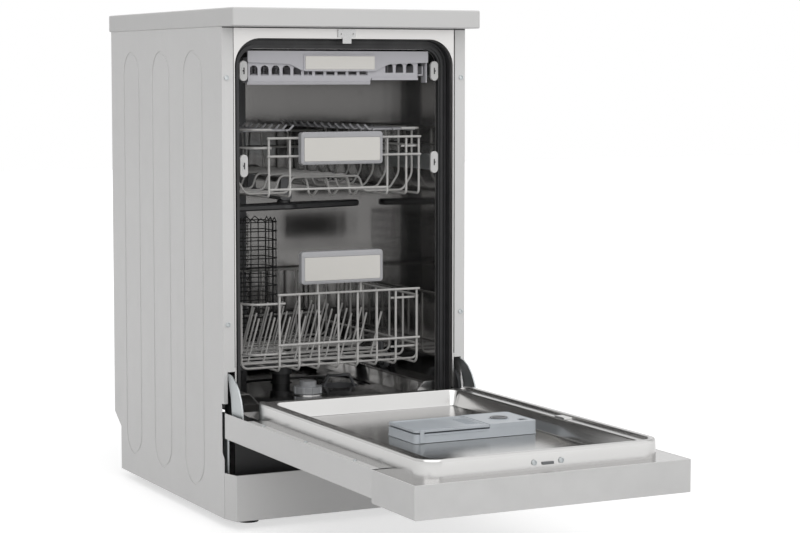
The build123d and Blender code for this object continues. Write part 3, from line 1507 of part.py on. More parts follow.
def wheel(x, y):
    """Rack wheel: rim, hub, five spokes' windows and a bore for the axle."""
    level = ledge_level + slip + wheel_radius
    x0, x1 = x - wheel_width / 2, x + wheel_width / 2
    disc = rod_x(x0, x1, y, level, wheel_radius)
    disc -= rod_x(x0 - 1, x1 + 1, y, level, axle_radius + pin_gap)
    for i in range(5):
        turn = 2 * pi * i / 5
        window = Pos(x, y + 9.2 * sin(turn), level + 9.2 * cos(turn)) * Rot(degrees(-turn), 0, 0)
        disc -= window * Box(wheel_width + 2, 5.5, 5)
    return disc


def handle_plate(middle):
    """Bright plate let into a rack's pull."""
    return handle_seat(middle, seat_gap)


def all_parts():
    """Every sub-part by the name of its file."""
    lower_pull = lower_rim + 44
    upper_pull = upper_rim - 17
    parts = {
        "worktop": worktop(), "side_panel_left": side_panel_left(),
        "back_panel": back_panel(), "base_tray": base_tray(), "kick_plate": kick_plate(),
        "levelling_feet": levelling_feet(), "tub_shell": tub_shell(),
        "tub_floor": tub_floor(), "tub_front_frame": tub_front_frame(),
        "door_gasket": door_gasket(), "door_striker": door_striker(),
        "cabinet_screws": cabinet_screws(), "sump": sump(), "softener_tank": softener_tank(),
        "salt_cap": salt_cap(), "flat_filter": flat_filter(), "filter_cup": filter_cup(),
        "lower_spray_arm": lower_spray_arm(), "upper_spray_arm": upper_spray_arm(),
        "spray_feed_pipe": spray_feed_pipe(), "wash_pump": wash_pump(),
        "drain_pump": drain_pump(), "inlet_valve": inlet_valve(),
        "cable_gland": cable_gland(), "hinge_brackets": hinge_brackets(),
        "hinge_covers": hinge_covers(), "hinge_arms": hinge_arms(),
        "door_springs": door_springs(), "door_outer_panel": door_outer_panel(),
        "control_panel": control_panel(), "control_board": control_board(),
        "power_button": button(0), "program_button": button(1), "start_button": button(2),
        "door_liner": door_liner(), "door_lock": door_lock(), "door_screws": door_screws(),
        "dispenser_body": dispenser_body(), "dispenser_lid": dispenser_lid(),
        "rinse_aid_dial": rinse_aid_dial(), "wall_glides": wall_glides(),
        "upper_basket_rails": rail_pair(upper_rail_middle, upper_rail_height),
        "tray_rails": rail_pair(tray_rail_middle, tray_rail_height),
        "lower_basket": lower_basket(), "lower_basket_tines": lower_basket_tines(),
        "lower_basket_handle": basket_handle(lower_pull),
        "lower_handle_plate": handle_plate(lower_pull), "upper_basket": upper_basket(),
        "upper_basket_handle": basket_handle(upper_pull),
        "upper_handle_plate": handle_plate(upper_pull), "cup_shelf_left": cup_shelf_left(),
        "cup_shelf_right": cup_shelf_right(), "cutlery_tray": cutlery_tray(),
        "tray_handle_plate": tray_plate_space(seat_gap), "cutlery_basket": cutlery_basket(),
    }
    parts["side_panel_right"] = mirrored(parts["side_panel_left"])
    for side, x in (("left", -wheel_x), ("right", wheel_x)):
        parts[f"front_wheel_{side}"] = wheel(x, wheel_front_y)
        parts[f"rear_wheel_{side}"] = wheel(x, wheel_rear_y)
    return parts


if __name__ == "__main__":
    os.makedirs("parts", exist_ok=True)
    for name, shape in all_parts().items():
        export_step(shape, f"parts/{name}.step")
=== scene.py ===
"""Looks of the freestanding slimline dishwasher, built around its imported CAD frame.

The scene is in metres, +Z up, with the door towards -Y, as in the CAD model. The sizes of a piece
on the bench are in millimetres, which Work turns into metres.
"""
import json
import logging
import math
from collections.abc import Callable, Iterable, Sequence
from dataclasses import dataclass
from enum import Enum

import bmesh
import bpy
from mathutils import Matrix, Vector

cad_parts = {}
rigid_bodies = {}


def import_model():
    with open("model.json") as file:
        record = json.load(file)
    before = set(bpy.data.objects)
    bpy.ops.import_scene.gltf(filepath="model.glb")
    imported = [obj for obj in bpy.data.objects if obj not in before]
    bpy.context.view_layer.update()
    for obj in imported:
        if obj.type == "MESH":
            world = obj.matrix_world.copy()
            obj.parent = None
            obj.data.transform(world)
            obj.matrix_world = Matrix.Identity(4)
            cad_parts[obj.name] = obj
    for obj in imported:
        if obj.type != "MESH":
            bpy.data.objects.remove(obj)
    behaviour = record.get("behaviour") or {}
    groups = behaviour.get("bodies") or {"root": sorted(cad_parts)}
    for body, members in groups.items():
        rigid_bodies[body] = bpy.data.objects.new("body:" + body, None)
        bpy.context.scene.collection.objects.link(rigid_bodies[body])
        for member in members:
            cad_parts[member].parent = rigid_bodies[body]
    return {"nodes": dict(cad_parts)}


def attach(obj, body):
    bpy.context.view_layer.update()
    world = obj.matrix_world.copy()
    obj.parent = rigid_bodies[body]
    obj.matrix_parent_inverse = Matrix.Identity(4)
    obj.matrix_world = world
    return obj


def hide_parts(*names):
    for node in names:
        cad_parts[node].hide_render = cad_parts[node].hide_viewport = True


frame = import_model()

LOG = logging.getLogger("dishwasher")
MM = 0.001
WHITE = (1.0, 1.0, 1.0)
NOISE_LOW, NOISE_HIGH = 0.3, 0.7  # Between these lies nearly all of a noise.
STRAIGHT = 0.1  # How far an edge may stray, in millimetres, and still run along an axis.
FACING = 0.9  # A normal's least share along an axis for a face that looks that way.
SQUARE = 0.99  # The same for the flat top of a screw's head.
CABINET_SCREW_HEADS = -249.9  # Just behind their faces, which look to the front.
DOOR_SCREW_HEADS = 190.5  # Just under their tops, with the door open.

Point = tuple[float, float, float]
Colour = tuple[float, float, float]


class Side(Enum):
    """The two sides of the machine, as seen by somebody who faces it."""

    LEFT = -1
    RIGHT = 1

    @property
    def word(self) -> str:
        """The side's name as the CAD nodes write it."""
        return self.name.lower()


class Grain(Enum):
    """The direction in which a metal's polishing lines run."""

    ALONG_X = (0.02, 1.0, 1.0)
    ALONG_Y = (1.0, 0.02, 1.0)
    ALONG_Z = (1.0, 1.0, 0.02)
    NONE = (1.0, 1.0, 1.0)


class Axis(Enum):
    """The rotation that lays a primitive along each axis."""

    X = (0.0, math.pi / 2, 0.0)
    Y = (math.pi / 2, 0.0, 0.0)
    Z = (0.0, 0.0, 0.0)


# Shader sockets and nodes


class Wire:
    """A node's output socket that can be used in arithmetic."""

    def __init__(self, nodes: "Nodes", socket: bpy.types.NodeSocket) -> None:
        """Keeps the socket and the nodes that it belongs to."""
        self.nodes = nodes
        self.socket = socket

    def _math(self, operation: str, left: "Wire | float", right: "Wire | float") -> "Wire":
        """Adds one Math node.

        Args:
            operation: The Math node's operation.
            left: Its first value.
            right: Its second value.

        Returns:
            The node's value.
        """
        return self.nodes.node("ShaderNodeMath", {"operation": operation}, {0: left, 1: right})

    def __add__(self, other: "Wire | float") -> "Wire":
        """This value plus another."""
        return self._math("ADD", self, other)

    __radd__ = __add__

    def __mul__(self, other: "Wire | float") -> "Wire":
        """This value times another."""
        return self._math("MULTIPLY", self, other)

    __rmul__ = __mul__

    def above(self, edge: "Wire | float") -> "Wire":
        """One where this value is over the edge, else nought."""
        return self._math("GREATER_THAN", self, edge)

    def larger(self, other: "Wire | float") -> "Wire":
        """The larger of this value and another."""
        return self._math("MAXIMUM", self, other)


class Nodes:
    """A material's or a world's node tree, to which one method adds every node."""

    def __init__(self, tree: bpy.types.NodeTree) -> None:
        """Keeps the tree."""
        self.tree = tree

    def node(self, kind: str, settings: dict[str, object], sockets: dict[int | str, object],
             output: int | str = 0) -> Wire:
        """Adds a node, sets it and fills its sockets.

        Args:
            kind: The node's type, such as ShaderNodeTexNoise.
            settings: Its settings, such as a Math node's operation.
            sockets: A value or a Wire for each socket, by number or name.
            output: The output that is returned.

        Returns:
            That output as a Wire.
        """
        made = self.tree.nodes.new(kind)
        for key, value in settings.items():
            setattr(made, key, value)
        for key, value in sockets.items():
            self.fill(made.inputs[key], value)
        return Wire(self, made.outputs[output])

    def fill(self, socket: bpy.types.NodeSocket, value: object) -> None:
        """Links a Wire to a socket, or sets the socket's own value.

        Args:
            socket: The input socket.
            value: A Wire, a colour or a number.
        """
        if isinstance(value, Wire):
            self.tree.links.new(value.socket, socket)
        elif socket.type == "RGBA":
            socket.default_value = (*value, 1.0)
        else:
            socket.default_value = value

    def ray(self, kind: str) -> Wire:
        """One where the ray is of a kind, such as Camera, else nought."""
        return self.node("ShaderNodeLightPath", {}, {}, f"Is {kind} Ray")


class Shader(Nodes):
    """One node-based material with a Principled surface."""

    def __init__(self, name: str) -> None:
        """Starts an empty material of that name.

        Args:
            name: The material's name, which is its slot in the record.
        """
        self.material = bpy.data.materials.new(name)
        self.material.use_nodes = True
        super().__init__(self.material.node_tree)
        self.surface = self.tree.nodes["Principled BSDF"]

    def set(self, **values: object) -> None:
        """Fills the surface's sockets; an underscore stands for a space.

        Args:
            **values: The sockets by name, such as Base_Color.
        """
        for key, value in values.items():
            self.fill(self.surface.inputs[key.replace("_", " ")], value)

    def place(self, stretch: Point = (1.0, 1.0, 1.0)) -> Wire:
        """The point in the object's own space, scaled along each axis."""
        here = self.node("ShaderNodeTexCoord", {}, {}, "Object")
        return self.node("ShaderNodeMapping", {}, {"Vector": here, "Scale": stretch})

    def noise(self, scale: float, detail: float = 2.0, stretch: Point = (1.0, 1.0, 1.0),
              rough: float = 0.5) -> Wire:
        """Smooth noise about 0.5.

        Args:
            scale: Waves in one metre.
            detail: Number of finer layers.
            stretch: Scale along each axis; a small one makes long streaks.
            rough: How strong the finer layers are.

        Returns:
            The noise's value.
        """
        return self.node("ShaderNodeTexNoise", {},
                         {"Vector": self.place(stretch), "Scale": scale, "Detail": detail,
                          "Roughness": rough})

    def cells(self, scale: float) -> Wire:
        """Distance to the nearest of many scattered points."""
        return self.node("ShaderNodeTexVoronoi", {}, {"Vector": self.place(), "Scale": scale})

    def spread(self, value: Wire, low: float, high: float) -> Wire:
        """A noise's value mapped so that it runs from low to high.

        Args:
            value: The noise.
            low: What a low noise gives.
            high: What a high noise gives.

        Returns:
            The mapped value.
        """
        return self.node("ShaderNodeMapRange", {"clamp": True},
                         {"Value": value, "From Min": NOISE_LOW, "From Max": NOISE_HIGH,
                          "To Min": low, "To Max": high})

    def mix(self, share: Wire | float, first: object, second: object) -> Wire:
        """A colour between two others."""
        return self.node("ShaderNodeMix", {"data_type": "RGBA"},
                         {0: share, 6: first, 7: second}, 2)

    def bump(self, height: Wire, depth: float, strength: float = 1.0,
             over: Wire | None = None) -> Wire:
        """A normal bent by a height.

        Args:
            height: The height, from nought to one.
            depth: What one of it measures, in metres.
            strength: How much of it shows.
            over: A coarser bump under this one.

        Returns:
            The bent normal.
        """
        sockets = {"Strength": strength, "Distance": depth, "Height": height}
        if over is not None:
            sockets["Normal"] = over
        return self.node("ShaderNodeBump", {}, sockets, "Normal")

    def scaled(self, colour: object, share: Wire) -> Wire:
        """A colour times a value."""
        return self.node("ShaderNodeVectorMath", {"operation": "SCALE"},
                         {0: colour, "Scale": share})


def tint(colour: Colour, by: float) -> Colour:
    """A colour made lighter or darker by a share."""
    return tuple(min(1.0, part * by) for part in colour)


@dataclass(frozen=True)
class Finish:
    """A finish that a material slot of the record can take."""

    slot: str
    colour: Colour
    roughness: float

    def dress(self, shader: Shader) -> None:
        """Adds the finish's own detail."""
        raise NotImplementedError

    def shaded(self, shader: Shader, noise: Wire, dark: float, light: float) -> Wire:
        """The finish's colour, made darker to lighter as a noise rises."""
        return shader.mix(shader.spread(noise, 0.0, 1.0), tint(self.colour, dark),
                          tint(self.colour, light))

    def material(self) -> bpy.types.Material:
        """Makes the finish's material.

        Returns:
            The material, with the colour shown in the viewport too.
        """
        shader = Shader(self.slot)
        self.dress(shader)
        shader.material.diffuse_color = (*self.colour, 1.0)
        return shader.material


@dataclass(frozen=True)
class Lacquer(Finish):
    """Sprayed satin paint on sheet metal: fine orange peel and metal flake."""

    flake: float = 0.05
    cloud: float = 0.015
    flake_scale: float = 2600.0
    peel_scale: float = 420.0
    peel_depth: float = 0.00002
    metal: float = 0.18

    def dress(self, shader: Shader) -> None:
        """Adds flakes to the colour and peel to the surface.

        Args:
            shader: The material's nodes.
        """
        sparkle = shader.spread(shader.noise(self.flake_scale, 1.0), 1.0 - self.flake,
                                1.0 + self.flake)
        base = self.shaded(shader, shader.noise(6.0), 1.0 - self.cloud, 1.0 + self.cloud)
        rough = shader.spread(shader.noise(35.0, 3.0), self.roughness - 0.03, self.roughness + 0.03)
        peel = shader.bump(shader.noise(self.peel_scale), self.peel_depth, 0.5)
        shader.set(Base_Color=shader.scaled(base, sparkle), Roughness=rough, Metallic=self.metal,
                   Coat_Weight=0.12, Coat_Roughness=0.25, Normal=peel)


@dataclass(frozen=True)
class Steel(Finish):
    """Rolled, brushed or polished steel: fine lines, water marks and a slightly wavy sheet."""

    grain: Grain = Grain.NONE
    lines: float = 0.06
    marks: float = 0.04
    wave: float = 0.02
    etch: float = 0.12
    line_scale: float = 900.0
    line_depth: float = 0.00003
    wave_scale: float = 22.0
    wave_depth: float = 0.003

    def dress(self, shader: Shader) -> None:
        """Adds lines along the grain, faint marks and a slightly uneven sheet.

        Args:
            shader: The material's nodes.
        """
        streak = shader.noise(self.line_scale, 2.0, self.grain.value)
        stain = shader.noise(14.0, 4.0, rough=0.6)
        rough = shader.spread(streak, self.roughness - self.lines, self.roughness + self.lines)
        worn = rough + shader.spread(stain, 0.0, self.marks)
        shade = shader.spread(streak, 0.0, 1.0) * 0.5 + shader.spread(stain, 0.0, 0.5)
        base = shader.mix(shade, tint(self.colour, 0.97), tint(self.colour, 1.02))
        sheet = shader.bump(shader.noise(self.wave_scale, 1.0, self.grain.value), self.wave_depth,
                            self.wave)
        shader.set(Base_Color=base, Roughness=worn, Metallic=1.0,
                   Normal=shader.bump(streak, self.line_depth, self.etch, sheet))


@dataclass(frozen=True)
class Moulded(Finish):
    """Injection-moulded plastic with a fine spark-eroded grain."""

    grain_depth: float = 0.00003
    grain_scale: float = 900.0
    sheen: float = 0.0

    def dress(self, shader: Shader) -> None:
        """Adds the grain, and slight differences of gloss.

        Args:
            shader: The material's nodes.
        """
        patch = shader.noise(22.0, 3.0)
        rough = shader.spread(patch, self.roughness - 0.04, self.roughness + 0.05)
        grain = shader.bump(shader.cells(self.grain_scale), self.grain_depth, 0.6)
        shader.set(Base_Color=self.shaded(shader, patch, 0.965, 1.03), Roughness=rough,
                   Coat_Weight=self.sheen, Coat_Roughness=0.3, Normal=grain)


@dataclass(frozen=True)
class Rubber(Finish):
    """Soft black rubber with a dusty bloom."""

    bloom: float = 0.35
    dust: float = 2.4
    grain_scale: float = 1500.0

    def dress(self, shader: Shader) -> None:
        """Adds bloom in patches and a fine dull grain.

        Args:
            shader: The material's nodes.
        """
        bloom = shader.spread(shader.noise(55.0, 4.0), 0.0, self.bloom)
        base = shader.mix(bloom, self.colour, tint(self.colour, self.dust))
        rough = shader.spread(shader.noise(30.0), self.roughness - 0.08, self.roughness + 0.08)
        shader.set(Base_Color=base, Roughness=rough,
                   Normal=shader.bump(shader.noise(self.grain_scale), 0.00003, 0.5))


@dataclass(frozen=True)
class Laminate(Finish):
    """Hard worktop laminate with a very fine pearl texture."""

    speck_scale: float = 1400.0
    press_scale: float = 1100.0

    def dress(self, shader: Shader) -> None:
        """Adds pearl specks and the pressed texture.

        Args:
            shader: The material's nodes.
        """
        base = self.shaded(shader, shader.noise(self.speck_scale), 0.965, 1.03)
        rough = shader.spread(shader.noise(18.0), self.roughness - 0.04, self.roughness + 0.04)
        shader.set(Base_Color=base, Roughness=rough,
                   Normal=shader.bump(shader.cells(self.press_scale), 0.00004, 0.5))


@dataclass(frozen=True)
class Coating(Finish):
    """Thick nylon coating that was dipped on steel wire."""

    skin_scale: float = 160.0

    def dress(self, shader: Shader) -> None:
        """Adds the uneven skin of a dipped coat.

        Args:
            shader: The material's nodes.
        """
        skin = shader.noise(self.skin_scale)
        shader.set(Base_Color=self.shaded(shader, skin, 0.93, 1.05), Roughness=self.roughness,
                   Coat_Weight=0.35, Coat_Roughness=0.15, Normal=shader.bump(skin, 0.0003, 0.35))


@dataclass(frozen=True)
class Clear(Finish):
    """Milky translucent plastic."""

    clearness: float = 0.35

    def dress(self, shader: Shader) -> None:
        """Adds a cloudy body and faint moulding marks.

        Args:
            shader: The material's nodes.
        """
        base = self.shaded(shader, shader.noise(60.0, 3.0), 0.92, 1.08)
        shader.set(Base_Color=base, Roughness=self.roughness, Coat_Weight=0.3,
                   Coat_Roughness=0.1, Transmission_Weight=self.clearness,
                   Normal=shader.bump(shader.noise(300.0), 0.00005, 0.4))


@dataclass(frozen=True)
class Board(Finish):
    """Green lacquered circuit board with paler tracks."""

    track_scale: float = 240.0
    track_tint: float = 1.9

    def dress(self, shader: Shader) -> None:
        """Adds tracks in two directions.

        Args:
            shader: The material's nodes.
        """
        across = shader.noise(self.track_scale, 0.0, (1.0, 0.06, 1.0)).above(0.56)
        along = shader.noise(self.track_scale, 0.0, (0.06, 1.0, 1.0)).above(0.58)
        track = across + along
        base = shader.mix(track, self.colour, tint(self.colour, self.track_tint))
        shader.set(Base_Color=base, Roughness=self.roughness,
                   Normal=shader.bump(track, 0.00003, 0.5))


FINISHES: tuple[Finish, ...] = (
    Lacquer("silver_paint", (0.604, 0.600, 0.596), 0.40),
    Laminate("worktop_board", (0.600, 0.597, 0.592), 0.38),
    Moulded("silver_plastic", (0.610, 0.607, 0.602), 0.36, grain_depth=0.00001,
            grain_scale=1400.0, sheen=0.15),
    Steel("tub_steel", (0.35, 0.346, 0.342), 0.10, Grain.ALONG_Z, lines=0.02, marks=0.02,
          wave=0.12, etch=0.02),
    Steel("liner_steel", (0.50, 0.496, 0.490), 0.19, Grain.ALONG_Y, lines=0.02, marks=0.02,
          wave=0.01, etch=0.03),
    Steel("frame_steel", (0.54, 0.532, 0.525), 0.32, Grain.ALONG_X, lines=0.04, marks=0.03,
          wave=0.01, etch=0.06),
    Steel("zinc_steel", (0.46, 0.482, 0.488), 0.40, lines=0.05, marks=0.10, wave=0.01),
    Steel("chrome", (0.40, 0.40, 0.40), 0.16, lines=0.03, marks=0.03, wave=0.01),
    Rubber("seal_rubber", (0.015, 0.015, 0.016), 0.5),
    Moulded("black_plastic", (0.010, 0.010, 0.011), 0.42),
    Moulded("base_plastic", (0.011, 0.011, 0.012), 0.5),
    Moulded("grey_plastic", (0.125, 0.128, 0.134), 0.40),
    Moulded("tray_plastic", (0.530, 0.525, 0.555), 0.40),
    Moulded("dispenser_plastic", (0.425, 0.455, 0.485), 0.38),
    Clear("cap_plastic", (0.50, 0.51, 0.53), 0.22),
    Coating("rack_coating", (0.45, 0.442, 0.430), 0.34),
    Moulded("arm_plastic", (0.045, 0.046, 0.048), 0.40),
    Moulded("pull_plastic", (0.37, 0.37, 0.385), 0.40),
    Steel("plate_metal", (0.43, 0.42, 0.40), 0.42, Grain.ALONG_X, lines=0.05, marks=0.02,
          wave=0.01, etch=0.10),
    Board("board_green", (0.02, 0.10, 0.045), 0.35),
    Moulded("white_plastic", (0.62, 0.62, 0.60), 0.40),
)


def slot_of(holder: bpy.types.MaterialSlot) -> str:
    """The record's slot that an imported material stands for."""
    return holder.material.name.split(".")[0]


class Palette:
    """All finishes, each made once and shared."""

    def __init__(self, finishes: Iterable[Finish]) -> None:
        """Makes every finish's material."""
        self.materials = {finish.slot: finish.material() for finish in finishes}

    def dress_node(self, node: bpy.types.Object) -> None:
        """Gives a CAD node the finish of the slot that its packed material names."""
        for holder in node.material_slots:
            holder.material = self.materials[slot_of(holder)]

    def dress_piece(self, piece: bpy.types.Object, slot: str) -> None:
        """Args:
            piece: The modelled piece.
            slot: The slot of its finish.
        """
        piece.data.materials.clear()
        piece.data.materials.append(self.materials[slot])


# Bench


class Work:
    """One piece on the bench, shaped in edit mode; its sizes are in millimetres."""

    def __init__(self, name: str) -> None:
        """Starts an empty piece and opens it for editing.

        Args:
            name: The piece's name.
        """
        bpy.ops.object.select_all(action="DESELECT")
        self.mesh = bpy.data.meshes.new(name)
        self.piece = bpy.data.objects.new(name, self.mesh)
        bpy.context.scene.collection.objects.link(self.piece)
        self.hold()
        bpy.ops.object.mode_set(mode="EDIT")

    def hold(self) -> None:
        """Selects the piece alone, in object mode."""
        bpy.ops.object.select_all(action="DESELECT")
        self.piece.select_set(True)
        bpy.context.view_layer.objects.active = self.piece

    def block(self, low: Point, high: Point) -> "Work":
        """Adds a box between two corners, and leaves it selected.

        Args:
            low: Its lower corner.
            high: Its upper corner.

        Returns:
            This piece.
        """
        middle = [(a + b) / 2 * MM for a, b in zip(low, high)]
        size = [(b - a) * MM for a, b in zip(low, high)]
        bpy.ops.mesh.primitive_cube_add(size=1.0, location=middle, scale=size)
        return self

    def drum(self, middle: Point, radius: float, length: float, axis: Axis = Axis.Z,
             sides: int = 32) -> "Work":
        """Adds a cylinder and leaves it selected.

        Args:
            middle: Its middle.
            radius: Its radius.
            length: Its length.
            axis: The axis that it lies along.
            sides: Its number of sides.

        Returns:
            This piece.
        """
        bpy.ops.mesh.primitive_cylinder_add(
            vertices=sides, radius=radius * MM, depth=length * MM, location=metres(middle),
            rotation=axis.value)
        return self

    def path(self, points: Sequence[Point], closed: bool = False) -> "Work":
        """Draws edges from point to point and leaves them selected.

        Args:
            points: The points in their order.
            closed: Whether the last one joins the first.

        Returns:
            This piece.
        """
        bpy.ops.mesh.primitive_plane_add(size=MM, location=metres(points[0]))
        bpy.ops.mesh.merge(type="CENTER")
        for start, end in zip(points, points[1:]):
            step = metres(end) - metres(start)
            bpy.ops.mesh.extrude_vertices_move(TRANSFORM_OT_translate={"value": step})
        bpy.ops.mesh.select_linked()
        if closed:
            self.join_ends()
        return self

    def join_ends(self) -> None:
        """Closes the selected path with an edge from its last point to its first."""
        form = bmesh.from_edit_mesh(self.mesh)
        path = [vert for vert in form.verts if vert.select]
        for vert in path:
            vert.select_set(len(vert.link_edges) == 1)
        form.select_flush_mode()
        bmesh.update_edit_mesh(self.mesh)
        bpy.ops.mesh.edge_face_add()
        bpy.ops.mesh.select_linked()

    def faces(self, where: Callable[[Vector, Vector], bool]) -> "Work":
        """Selects the faces whose middle, in millimetres, and normal pass a test."""
        return self._pick("FACE", lambda face: where(face.calc_center_median() / MM, face.normal))

    def edges(self, where: Callable[[Vector, Vector], bool]) -> "Work":
        """Selects the edges whose two ends, in millimetres, pass a test."""
        return self._pick("EDGE", lambda edge: where(edge.verts[0].co / MM, edge.verts[1].co / MM))

    def points(self, where: Callable[[Vector], bool]) -> "Work":
        """Selects the points whose place, in millimetres, passes a test."""
        return self._pick("VERT", lambda vert: where(vert.co / MM))

    def facing(self, axis: str, sign: int,
               where: Callable[[Vector], bool] = lambda at: True) -> "Work":
        """Selects the faces that look along an axis and whose middle passes a test."""
        return self.faces(lambda at, out: getattr(out, axis) * sign > FACING and where(at))

    def along(self, axis: str, longer: float = 0.0,
              where: Callable[[Vector, Vector], bool] = lambda a, b: True) -> "Work":
        """Selects straight edges that run along an axis.

        Args:
            axis: The axis, as x, y or z.
            longer: The length that an edge has to pass.
            where: A further test of its two ends.

        Returns:
            This piece.
        """
        others = [other for other in "xyz" if other != axis]
        return self.edges(lambda a, b: abs(getattr(a, axis) - getattr(b, axis)) > longer
                          and all(abs(getattr(a, other) - getattr(b, other)) < STRAIGHT
                                  for other in others) and where(a, b))

    def _pick(self, kind: str, where: Callable[[object], bool]) -> "Work":
        """Selects parts of one kind, VERT, EDGE or FACE, by a test.

        Args:
            kind: The parts that are looked at.
            where: The test of one part.

        Returns:
            This piece.
        """
        bpy.ops.mesh.select_mode(type=kind)
        bpy.ops.mesh.select_all(action="DESELECT")
        form = bmesh.from_edit_mesh(self.mesh)
        form.normal_update()
        for part in {"VERT": form.verts, "EDGE": form.edges, "FACE": form.faces}[kind]:
            if where(part):
                part.select_set(True)
        form.select_flush_mode()
        bmesh.update_edit_mesh(self.mesh)
        return self

    def everything(self) -> "Work":
        """Selects the whole piece.

        Returns:
            This piece.
        """
        bpy.ops.mesh.select_mode(type="VERT")
        bpy.ops.mesh.select_all(action="SELECT")
        return self

    def bevel(self, width: float, steps: int = 3, corners: bool = False) -> "Work":
        """Rounds the selected edges, or the selected corners of an outline.

        Args:
            width: How wide the rounding is.
            steps: The number of faces across it.
            corners: Whether corners are rounded, and not edges.

        Returns:
            This piece.
        """
        bpy.ops.mesh.bevel(offset=width * MM, segments=steps,
                           affect="VERTICES" if corners else "EDGES")
        return self

    def inset(self, width: float, depth: float = 0.0) -> "Work":
        """Insets the selected faces as one, and moves them along their normal."""
        bpy.ops.mesh.inset(thickness=width * MM, depth=depth * MM, use_even_offset=True)
        return self

    def extrude(self, by: Point) -> "Work":
        """Extrudes the selected faces by a distance."""
        bpy.ops.mesh.extrude_region_move(TRANSFORM_OT_translate={"value": metres(by)})
        return self

    def fill(self) -> "Work":
        """Fills the selected outlines, leaving the ones inside another open."""
        bpy.ops.mesh.fill(use_beauty=True)
        return self

    def resize(self, factors: Point, about: Point) -> "Work":
        """Scales what is selected about a point."""
        bpy.ops.transform.resize(value=factors, center_override=metres(about))
        return self

    def turn(self, degrees: float, about: Point, axis: str = "Z") -> "Work":
        """Turns what is selected about a point, anticlockwise as seen against the axis.

        Args:
            degrees: The angle.
            about: The point that stays.
            axis: The axis, as X, Y or Z.

        Returns:
            This piece.
        """
        bpy.ops.transform.rotate(value=-math.radians(degrees), orient_axis=axis,
                                 center_override=metres(about))
        return self

    def copy(self, by: Point) -> "Work":
        """Copies what is selected, and leaves the copy selected."""
        bpy.ops.mesh.duplicate_move(TRANSFORM_OT_translate={"value": metres(by)})
        return self

    def other_side(self) -> "Work":
        """Adds the whole piece's mirror image on the machine's other side.

        Returns:
            This piece.
        """
        self.everything()
        bpy.ops.mesh.duplicate()
        self.resize((-1.0, 1.0, 1.0), (0.0, 0.0, 0.0))
        bpy.ops.mesh.flip_normals()
        return self

    def remove(self) -> "Work":
        """Deletes the selected faces."""
        bpy.ops.mesh.delete(type="FACE")
        return self

    def sound(self) -> "Work":
        """Merges doubled points and points the faces outwards.

        Returns:
            This piece.
        """
        self.everything()
        bpy.ops.mesh.remove_doubles(threshold=0.02 * MM)
        bpy.ops.mesh.normals_make_consistent(inside=False)
        return self

    def apply(self, kind: str, **settings: object) -> "Work":
        """Adds a modifier, sets it and applies it.

        Args:
            kind: The modifier's type, such as SOLIDIFY.
            **settings: Its settings by name.

        Returns:
            This piece, open for editing.
        """
        bpy.ops.object.mode_set(mode="OBJECT")
        self.hold()
        step = self.piece.modifiers.new(kind.lower(), kind)
        for key, value in settings.items():
            setattr(step, key, value)
        bpy.ops.object.modifier_apply(modifier=step.name)
        bpy.ops.object.mode_set(mode="EDIT")
        return self

    def soften(self, width: float, steps: int = 2, angle: float = 35.0) -> "Work":
        """Rounds every edge that is sharper than an angle."""
        return self.apply("BEVEL", width=width * MM, segments=steps, limit_method="ANGLE",
                          angle_limit=math.radians(angle))

    def thicken(self, width: float, offset: float = -1.0) -> "Work":
        """Gives a sheet its thickness."""
        return self.apply("SOLIDIFY", thickness=width * MM, offset=offset, use_even_offset=True)

    def wires(self, radius: float, fineness: int = 2) -> "Work":
        """Turns every path of the piece into round wire.

        Args:
            radius: The wire's radius.
            fineness: How round its section is.

        Returns:
            This piece, as a mesh.
        """
        bpy.ops.object.mode_set(mode="OBJECT")
        self.hold()
        bpy.ops.object.convert(target="CURVE")
        curve = bpy.context.object
        curve.data.bevel_depth = radius * MM
        curve.data.bevel_resolution = fineness
        curve.data.use_fill_caps = True
        bpy.ops.object.convert(target="MESH")
        self.piece = bpy.context.object
        self.mesh = self.piece.data
        self.hold()
        bpy.ops.object.mode_set(mode="EDIT")
        return self.sound()

    def finish(self, angle: float = 35.0) -> bpy.types.Object:
        """Shades the piece smooth up to an angle, its large faces flat.

        Args:
            angle: The angle in degrees up to which faces shade as one.

        Returns:
            The finished object.
        """
        bpy.ops.object.mode_set(mode="OBJECT")
        self.hold()
        bpy.ops.object.shade_smooth_by_angle(angle=math.radians(angle))
        self.apply("WEIGHTED_NORMAL", keep_sharp=True, weight=100)
        bpy.ops.object.mode_set(mode="OBJECT")
        return self.piece


def from_node(name: str, node: bpy.types.Object) -> Work:
    """Opens a merged copy of a CAD node's mesh on the bench.

    Args:
        name: The new piece's name.
        node: The CAD node.

    Returns:
        The copy, with its flat triangles joined into faces.
    """
    work = Work(name)
    bpy.ops.object.mode_set(mode="OBJECT")
    piece = work.piece
    piece.data = node.data.copy()
    piece.data.name = name
    work.mesh = piece.data
    work.hold()
    bpy.ops.mesh.customdata_custom_splitnormals_clear()
    bpy.ops.object.mode_set(mode="EDIT")
    work.everything()
    bpy.ops.mesh.remove_doubles(threshold=0.01 * MM)
    bpy.ops.mesh.dissolve_limited(angle_limit=math.radians(0.8))
    return work


def metres(point: Iterable[float]) -> Vector:
    """A point in millimetres as a vector in metres."""
    return Vector([part * MM for part in point])


def spread(first: float, last: float, count: int) -> list[float]:
    """Evenly spaced places, the ends among them."""
    return [first + (last - first) * i / (count - 1) for i in range(count)]


